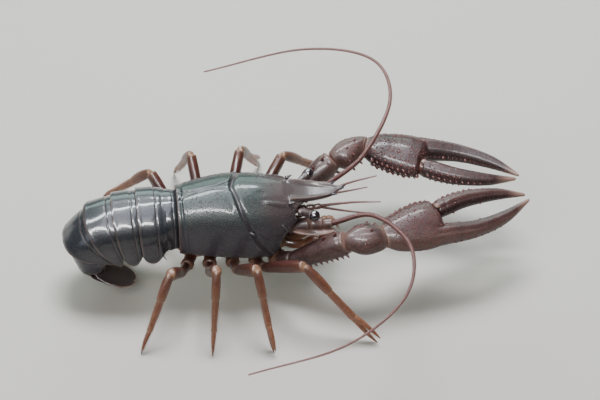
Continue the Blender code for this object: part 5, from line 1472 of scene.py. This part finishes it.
def makeLeg(sideName, side, number):
    face, out = coxaFrame(number + 1, side)
    knee = mirrored(legs["knee"][sideName][number], side)
    tipX, tipY = legs["tip"][sideName][number]
    tip = np.array((tipX, tipY * side, 0.12))
    start = face + out * gap
    hip = start + out * 3.4 + np.array((0, 0, 0.8))
    thighWay, shinWay = unit(knee - hip), unit(tip - knee)
    bend = unit(thighWay + shinWay)
    flat = legs["flat"]
    size = lambda word: (scaled(legs[word], flat), legs[word])
    turnFold = lambda share, low, high: ramp(share, low, low + 0.1) * (1 - ramp(share, high - 0.1, high))
    furrow = lambda turns, share: 0.10 * bell(np.sin(turns), 0, 0.3) * turnFold(share, 0.12, 0.9)
    furrowed = lambda turns, share: 1 - furrow(turns, share) + 0.05 * bell(share, 0.95, 0.03)
    joint = lambda share: 0.85 * bell(share, 0.95, 0.04)
    ends = start - out * 0.7, hip + thighWay * 2.2
    how = {"rings": 44, "around": 30, "dome": 0.5, "swell": furrowed, "tone": 1.0, "fore": 0.0, "stud": joint}
    upper = [segment("ischium", *ends, *size("ischium"), "legCuticle", **how)]
    ends = hip + thighWay * 1.3, knee - bend * 0.1
    how = {"bow": (0, 0, 0.3), "rings": 70, "around": 36, "dome": 0.6, "swell": furrowed, "stud": joint}
    how |= {"tone": lambda share: 1.0 - 0.15 * share, "fore": lambda share: 0.1 * share * share}
    upper.append(segment("merus", *ends, *size("merus"), "legCuticle", **how))
    label = f"{number + 2}{sideName.capitalize()}"
    over = unit(np.cross(np.cross(thighWay, upward), thighWay))
    thighLength, thorns = np.linalg.norm(knee - hip), []
    for share, lift in legs["spines"]:
        place = hip + thighWay * thighLength * share + over * (1.85 + 0.25 * share) * lift
        thorns.append((place, over * lift + thighWay * 1.2, 0.24, 0.5))
    upper.append(growThorns(thorns, "legCuticle", 1.5))
    finishPiece(f"leg{label}Upper", upper, "leg", f"leg_{number + 2}_{sideName}_upper")

    top, length = knee - bend * 0.5, np.linalg.norm(tip - knee)
    at = lambda share: knee + shinWay * (length * share)
    away = unit(np.cross(np.cross(shinWay, upward), shinWay))
    pincer = number in legs["pincers"]
    how = {"bow": upward * 0.5, "rings": 50, "around": 32, "dome": 0.5, "swell": furrowed, "stud": joint}
    how |= {"tone": lambda share: 0.85 - 0.25 * share, "fore": lambda share: 0.08 + 0.35 * share}
    lower = [segment("carpus", top, at(0.335), *size("carpus"), "legCuticle", **how)]
    wide, tall = size("pincerPalm" if pincer else "propodus")
    how = {"rings": 56, "around": 32, "dome": 0.45, "swell": furrowed, "tone": 0.5}
    how |= {"fore": lambda share: 0.45 + 0.35 * share, "stud": lambda share: 0.6 * joint(share)}
    wide = scaled(wide, 0.9 if pincer else 1.0)
    lower.append(segment("propodus", at(0.30), at(0.715), wide, tall, "legCuticle", **how))
    if pincer:  # the first two pairs end in small pincers
        how = {"rings": 40, "around": 22, "dome": 0.3, "tone": 0.4, "fore": 0.95}
        how |= {"pale": 0.2, "stud": lambda share: 0.8 * ramp(share, 0.8, 1.0)}
        for bow, shift, goal in ((0.5, 0.0, tip), (-0.35, 1.0, tip + away * 1.35 + upward * 1.4)):
            ends = at(0.66) + away * shift * 0.7, goal
            lower.append(segment("finger", *ends, *size("finger"), "legCuticle", bow=-away * bow, **how))
    else:
        how = {"rings": 48, "around": 24, "dome": 0.25, "bow": away * 0.45, "tone": 0.3, "fore": 0.9}
        how |= {"pale": 0.2, "stud": lambda share: 0.9 * ramp(share, 0.72, 0.95)}
        lower.append(segment("dactyl", at(0.695), tip, *size("dactyl"), "legCuticle", **how))
    finishPiece(f"leg{label}Lower", lower, "leg", f"leg_{number + 2}_{sideName}_lower")
    across, hairs = unit(np.cross(shinWay, upward)), []
    share = np.linspace(0.34, 0.93, 24)
    for lean, sink in ((away, 1.0), (across, flat), (away + across, 0.95)):
        for way in (unit(lean), -unit(lean)):
            reach = smoothAt(legs["hairReach"], share) * sink
            line = knee + shinWay * (length * share)[:, None] + way * reach[:, None]
            hairs.append((line, way * 0.8 + shinWay))
    return hairs


for sideName, side in sides.items():
    hairs = [line for number in range(4) for line in makeLeg(sideName, side, number)]
    grown = growBristles(hairs, 0.38, 1.1, 0.04, 25 + side)
    finishPiece(f"legBristles{sideName.capitalize()}", [grown], "leg")
print("legs done")


# Head: eyes, feelers and jaw legs

feelers = {
    "route": {
        "left": ((30, 8.6, 27.2), (43, 13, 36), (54, 32, 42), (50, 53, 41), (28, 65, 36), (-5, 66, 28)),
        "right": ((30, 8.6, 27.2), (43, 14, 35), (53, 31, 37), (49, 48, 32), (29, 60, 25), (-2, 62, 17)),
    },
    "thick": 0.95, "thin": 0.28, "ringStep": 0.36,
    "stalk": ((0, 1.2), (0.3, 1.3), (0.55, 1.38), (0.8, 1.62), (0.93, 1.86), (1, 1.80)),
    "antennuleJoint": ((0, 0.82), (0.2, 1), (0.85, 1.02), (1, 0.8)),
    "antennuleWidths": (1.25, 1.3, 1.1, 0.95),
    "antennaJoint": ((0, 0.85), (0.2, 1), (0.8, 1), (0.93, 0.96), (1, 0.78)),
    "antennaWidths": (2.35, 2.5, 2.05, 1.6),
    "scale": ((0, 1.0), (0.2, 1.9), (0.55, 2.15), (0.82, 1.45), (0.95, 0.55), (1, 0.12)),
}
jawLeg = {
    "route": ((26.5, 3.5, 14.0), (29.5, 3.3, 17.2), (31.7, 3.0, 16.9), (33.5, 2.8, 13.6)),
    "sizes": ((1.75, 2.1, 1.7), (1.55, 2.15, 1.65), (1.25, 1.5, 1.3), (1.05, 1.2, 1.1), (0.85, 0.9, 0.35)),
}


def feelerLine(sideName, side, count=37):
    return routePoints([mirrored(point, side) for point in feelers["route"][sideName]], count)


def ringedWhip(line, thick, step, **masks):
    mesh = bpy.data.meshes.new("whip")
    mesh.from_pydata(line.tolist(), [(k, k + 1) for k in range(len(line) - 1)], [])
    paintMasks(mesh, thick=thick, **masks)
    return grow(mesh, "rings", Spacing=step, Material=finishes["feelerCuticle"])


def makeEye(sideName, side):
    (x, y, z), radii = shield["orbit"]
    out = unit((0.72, 0.62 * side, 0.2))
    root = np.array((x - 0.62 * radii[0] + gap, (y - 0.6) * side, z))
    neck = root + np.array((0.9, 0, 0))
    end = neck + out * 3.2
    line = routePoints((root, neck, (neck + end) / 2, end, end + out * 0.75), 34)
    path = np.vstack((root - (0.8, 0, 0), line))
    share = np.linspace(0, 1, len(path))
    size = smoothAt(feelers["stalk"], share)
    around = 32
    looks = {"tone": 0.7 + 0.3 * np.sin(np.linspace(0, 2 * math.pi, around))[None, :], "fore": 0.9}
    looks["pale"] = (0.55 * ramp(share, 0.88, 0.98) + 0.35 * (1 - ramp(share, 0.05, 0.3)))[:, None]
    stalk = gridMesh("stalk", sweep(path, size, size, around=around), "wetShellCuticle", **looks)
    finishPiece(f"eyeStalk{sideName.capitalize()}", [stalk], "shell", f"eye_stalk_{sideName}")
    middle = end + out * (gap + 1.25)
    turn = np.linspace(0.02, 0.72 * math.pi, 44)
    path, size = middle + out * (1.86 * np.cos(turn))[:, None], 1.84 * np.sin(turn)
    ball = gridMesh("cornea", sweep(path, size, size, around=48), "facettedCornea")
    finishPiece(f"eye{sideName.capitalize()}", [ball], "eye", f"eye_{sideName}")


def stemSegments(joints, widths, shape, overlap, finish, **how):  # the jointed stem of a feeler
    made = []
    for start, end, wide in zip(joints, joints[1:], widths):
        size = scaled(shape, wide)
        made.append(segment("stem", start, end + unit(end - start) * overlap, size, size, finish, **how))
    return made


def makeAntennule(sideName, side):
    root = facePoint(2.1 * side, 28.3)
    joints = [root - faceWay * 1.2, root + faceWay * 1.1]
    joints += [root + mirrored(step, side) for step in ((4, 0.1, 0.2), (6.6, 0.2, 0.5), (8.8, 0.3, 0.9))]
    size = feelers["antennuleWidths"], feelers["antennuleJoint"]
    how = {"rings": 24, "around": 20, "dome": 0.35, "tone": 0.7, "fore": 0.3}
    meshes = stemSegments(joints, *size, 0.3, "feelerCuticle", **how)
    count = 60  # points along each whip
    looks = {"tone": np.linspace(0.8, 0.3, count), "fore": np.linspace(0.2, 0.9, count)}
    for reach, rise, wide in ((19, 3.5, 0.55), (16, -1.5, 0.5)):
        tip = joints[-1] + np.array((reach, 3.5 * side, rise))
        middle = (joints[-1] + tip) / 2 + np.array((0, 0.2 * side, rise * 0.25))
        line = routePoints((joints[-1] - (1.2, 0, 0), middle, tip), count)
        meshes.append(ringedWhip(line, np.linspace(wide, 0.2, count), 0.42, **looks))
    finishPiece(f"antennule{sideName.capitalize()}", meshes, "feeler", f"antennule_{sideName}")


def makeAntenna(sideName, side):
    root = facePoint(6.0 * side, 24.9)
    line = feelerLine(sideName, side)
    end, after = line[0], line[1]
    heading = unit(after - end)
    joints = [root - faceWay * 1.0, root + faceWay * 1.6]
    joints += [root + (end - root) * 0.5, root + (end - root) * 0.8, end + heading * 0.1]
    size = feelers["antennaWidths"], feelers["antennaJoint"]
    how = {"rings": 30, "around": 30, "dome": 0.5, "tone": 0.5, "fore": 0.25}
    meshes = stemSegments(joints, *size, 0.4, "clawCuticle", **how)
    base = root + np.array((1.5, 1.8 * side, 0.5))  # the scale: a stiff outer rib with a thin inner leaf
    share = endShares(60, 0.5)
    half = smoothAt(feelers["scale"], share)
    centre = base + np.stack((13.5 * share, (1.2 + 1.8 * share) * side, 0.5 * share), axis=1)
    turns = fullTurn(40)
    rib = 1 + 1.3 * bell(np.cos(turns) * side, 0.86, 0.16)
    thin = (0.36 - 0.14 * share)[:, None] * np.sin(turns) * rib
    domed = thin + 0.25 * (1 - np.cos(turns * 2)) * 0.2
    grid = centre[:, None] + np.array((0, 1.0, 0)) * (half[:, None] * np.cos(turns))[..., None]
    grid = grid + upward * domed[..., None]
    pale = 0.25 + 0.35 * np.abs(np.cos(turns))[None, :]
    meshes.append(gridMesh("scale", grid, "clawCuticle", tone=0.5, fore=0.3, pale=pale))
    tip = centre[-1] + np.array((-0.4, 0.35 * side, 0))
    thorns = [
        (tip, (1, 0.25 * side, 0.05), 0.4, 1.5),
        (root + faceWay * 1.2 + np.array((0.3, 2.2 * side, -0.3)), (1, 0.7 * side, 0), 0.55, 1.6),
        (root + np.array((4.0, 1.9 * side, -1.2)), (1, 0.6 * side, -0.3), 0.4, 1.0),
    ]
    meshes.append(growThorns(thorns, "wetShellCuticle", 1.2))
    finishPiece(f"antennaBase{sideName.capitalize()}", meshes, "shell", f"antenna_base_{sideName}")
    inner = centre + np.array((0, -side, 0)) * (half - 0.05)[:, None]
    hairs = [(inner[6:58], (0.75, -0.7 * side, 0))]
    whip = feelerLine(sideName, side, 320)
    far = np.linspace(0, 1, len(whip))
    thick = feelers["thick"] + (feelers["thin"] - feelers["thick"]) * far**0.8
    whole = ringedWhip(whip, thick, feelers["ringStep"], tone=0.9 - 0.5 * far, fore=far, pale=0.0)
    grid = sweep(whip, thick * 0.9, thick * 0.9, around=10)
    core = gridMesh("core", grid, "feelerCuticle", tone=0.3, fore=1.0)
    nodes = (f"flagellum_{part}_{sideName}" for part in ("base", "middle", "tip"))
    finishPiece(f"flagellum{sideName.capitalize()}", [core, whole], "feeler", *nodes)
    return hairs


def makeJawLeg(sideName, side):
    start = np.array((under["jawX"] + gap, 2.7 * side, 14.0))
    route = [start - (0.8, 0, 0), start + (5.5, 0.5 * side, -1.2)]
    route += [mirrored(point, side) for point in jawLeg["route"]]
    meshes, hairs = [], []
    for k, (first, middle, last) in enumerate(jawLeg["sizes"]):
        size = ((0, first * 0.85), (0.15, first), (0.5, middle), (0.88, last), (1, last * 0.8))
        ahead = unit(route[k + 1] - route[k])
        ends = route[k] - ahead * 0.2, route[k + 1] + ahead * 0.35
        how = {"up": (0, 1, 0), "rings": 34, "around": 24, "dome": 0.5, "tone": 0.6, "fore": 0.35 + 0.1 * k}
        meshes.append(segment("joint", *ends, scaled(size, 0.85), size, "legCuticle", **how))
        line = route[k] + (route[k + 1] - route[k]) * np.linspace(0.1, 0.95, 14)[:, None]
        inside = line + np.array((0, -side, 0)) * middle * 0.8
        for drop in (0.0, 0.6, -0.6):
            hairs.append((inside + upward * drop * middle * 0.5, np.array((0.7, -0.6 * side, -0.25 + drop))))
    finishPiece(f"jawLeg{sideName.capitalize()}", meshes, "leg", f"jaw_leg_{sideName}")
    return hairs


scaleHairs, jawHairs = [], []
for sideName, side in sides.items():
    makeEye(sideName, side)
    makeAntennule(sideName, side)
    scaleHairs += makeAntenna(sideName, side)
    jawHairs += makeJawLeg(sideName, side)
finishPiece("antennaScaleBristles", [growBristles(scaleHairs, 0.12, 1.2, 0.035, 27, 0.1)], "shell")
finishPiece("jawLegBristles", [growBristles(jawHairs, 0.22, 1.7, 0.04, 28)], "leg")
print("head done")


# Floor, light and camera

studio = {
    "azimuth": -6.0, "elevation": 46.0, "lens": 200.0, "sensor": 36.0, "frameWidth": 0.1967,
    "aim": (0.0012, 0.0000, 0.0280),
    "floor": "#d2cec6", "sky": "#dfe6ea", "skyStrength": 0.12,
    "lights": (  # (name, place, size, power, colour, lights surfaces, shows in reflections)
        ("overheadSoft", (0.05, 0.26, 0.78), (0.40, 0.28), 10.0, "#f6f9ff", True, False),
        ("nearKey", (-0.3, -0.45, 0.6), (0.4, 0.4), 2.1, "#fff8ee", True, False),
        ("farSky", (-0.05, 0.75, 0.34), (0.7, 0.26), 3.2, "#cfeee6", True, True),
        ("leftFill", (-0.7, -0.4, 0.35), (0.4, 0.4), 1.1, "#dde6ff", True, True),
        ("nearCard", (-0.20, -0.30, 0.58), (0.62, 0.09), 13.0, "#ffffff", False, True),
        ("skyCard", (-0.10, 0.04, 0.66), (0.85, 0.42), 6.5, "#e6eaf8", False, True),
        ("farCard", (-0.14, 0.34, 0.56), (0.74, 0.09), 13.0, "#f4fbff", False, True),
    ),
}


def makeStudio():
    floorMesh = bpy.data.meshes.new("floor")
    floorMesh.from_pydata([(-4, -4, 0), (4, -4, 0), (4, 4, 0), (-4, 4, 0)], [], [(0, 1, 2, 3)])
    floor = bpy.data.objects.new("floor", floorMesh)
    bpy.context.scene.collection.objects.link(floor)
    made, tree, place = newMaterial("mattPaper")  # matt off-white paper with a faint tooth
    grain = 0.8  # mm
    tooth = addNode(tree, "ShaderNodeTexNoise", {"Vector": place, "Scale": 1000 / grain, "Detail": 3.0})
    bump = addNode(tree, "ShaderNodeBump", {
        "Strength": 0.05, "Distance": 0.0001, "Height": tooth.outputs["Fac"],
    })
    shader = addNode(tree, "ShaderNodeBsdfPrincipled", {
        "Base Color": hexColour(studio["floor"]), "Roughness": 0.9, "Specular IOR Level": 0.1, "Normal": bump,
    })
    addNode(tree, "ShaderNodeOutputMaterial", {"Surface": shader})
    floorMesh.materials.append(made)

    world = bpy.data.worlds.new("studio")
    world.use_nodes = True
    ground = world.node_tree.nodes["Background"]
    ground.inputs["Color"].default_value = hexColour(studio["sky"])
    ground.inputs["Strength"].default_value = studio["skyStrength"]
    bpy.context.scene.world = world

    for name, place, size, power, colour, spread, glint in studio["lights"]:
        lamp = bpy.data.lights.new(name, "AREA")
        lamp.shape, lamp.size, lamp.size_y, lamp.energy = "RECTANGLE", size[0], size[1], power
        lamp.color = hexColour(colour)[:3]
        holder = bpy.data.objects.new(name, lamp)
        holder.location = place
        holder.rotation_mode = "QUATERNION"
        holder.rotation_quaternion = (Vector((0, 0, 0.02)) - Vector(place)).to_track_quat("-Z", "Y")
        holder.visible_diffuse, holder.visible_glossy = spread, glint
        bpy.context.scene.collection.objects.link(holder)

    lens = bpy.data.cameras.new("camera")
    lens.lens, lens.sensor_width = studio["lens"], studio["sensor"]
    turn, rise = math.radians(studio["azimuth"]), math.radians(studio["elevation"])
    back = Vector((math.sin(turn) * math.cos(rise), -math.cos(turn) * math.cos(rise), math.sin(rise)))
    camera = bpy.data.objects.new("camera", lens)
    distance = studio["frameWidth"] / studio["sensor"] * studio["lens"]
    camera.location = Vector(studio["aim"]) + back * distance
    camera.rotation_mode = "QUATERNION"
    camera.rotation_quaternion = (-back).to_track_quat("-Z", "Y")
    lens.clip_start, lens.clip_end = 0.01, 20
    bpy.context.scene.collection.objects.link(camera)
    bpy.context.scene.camera = camera


makeStudio()
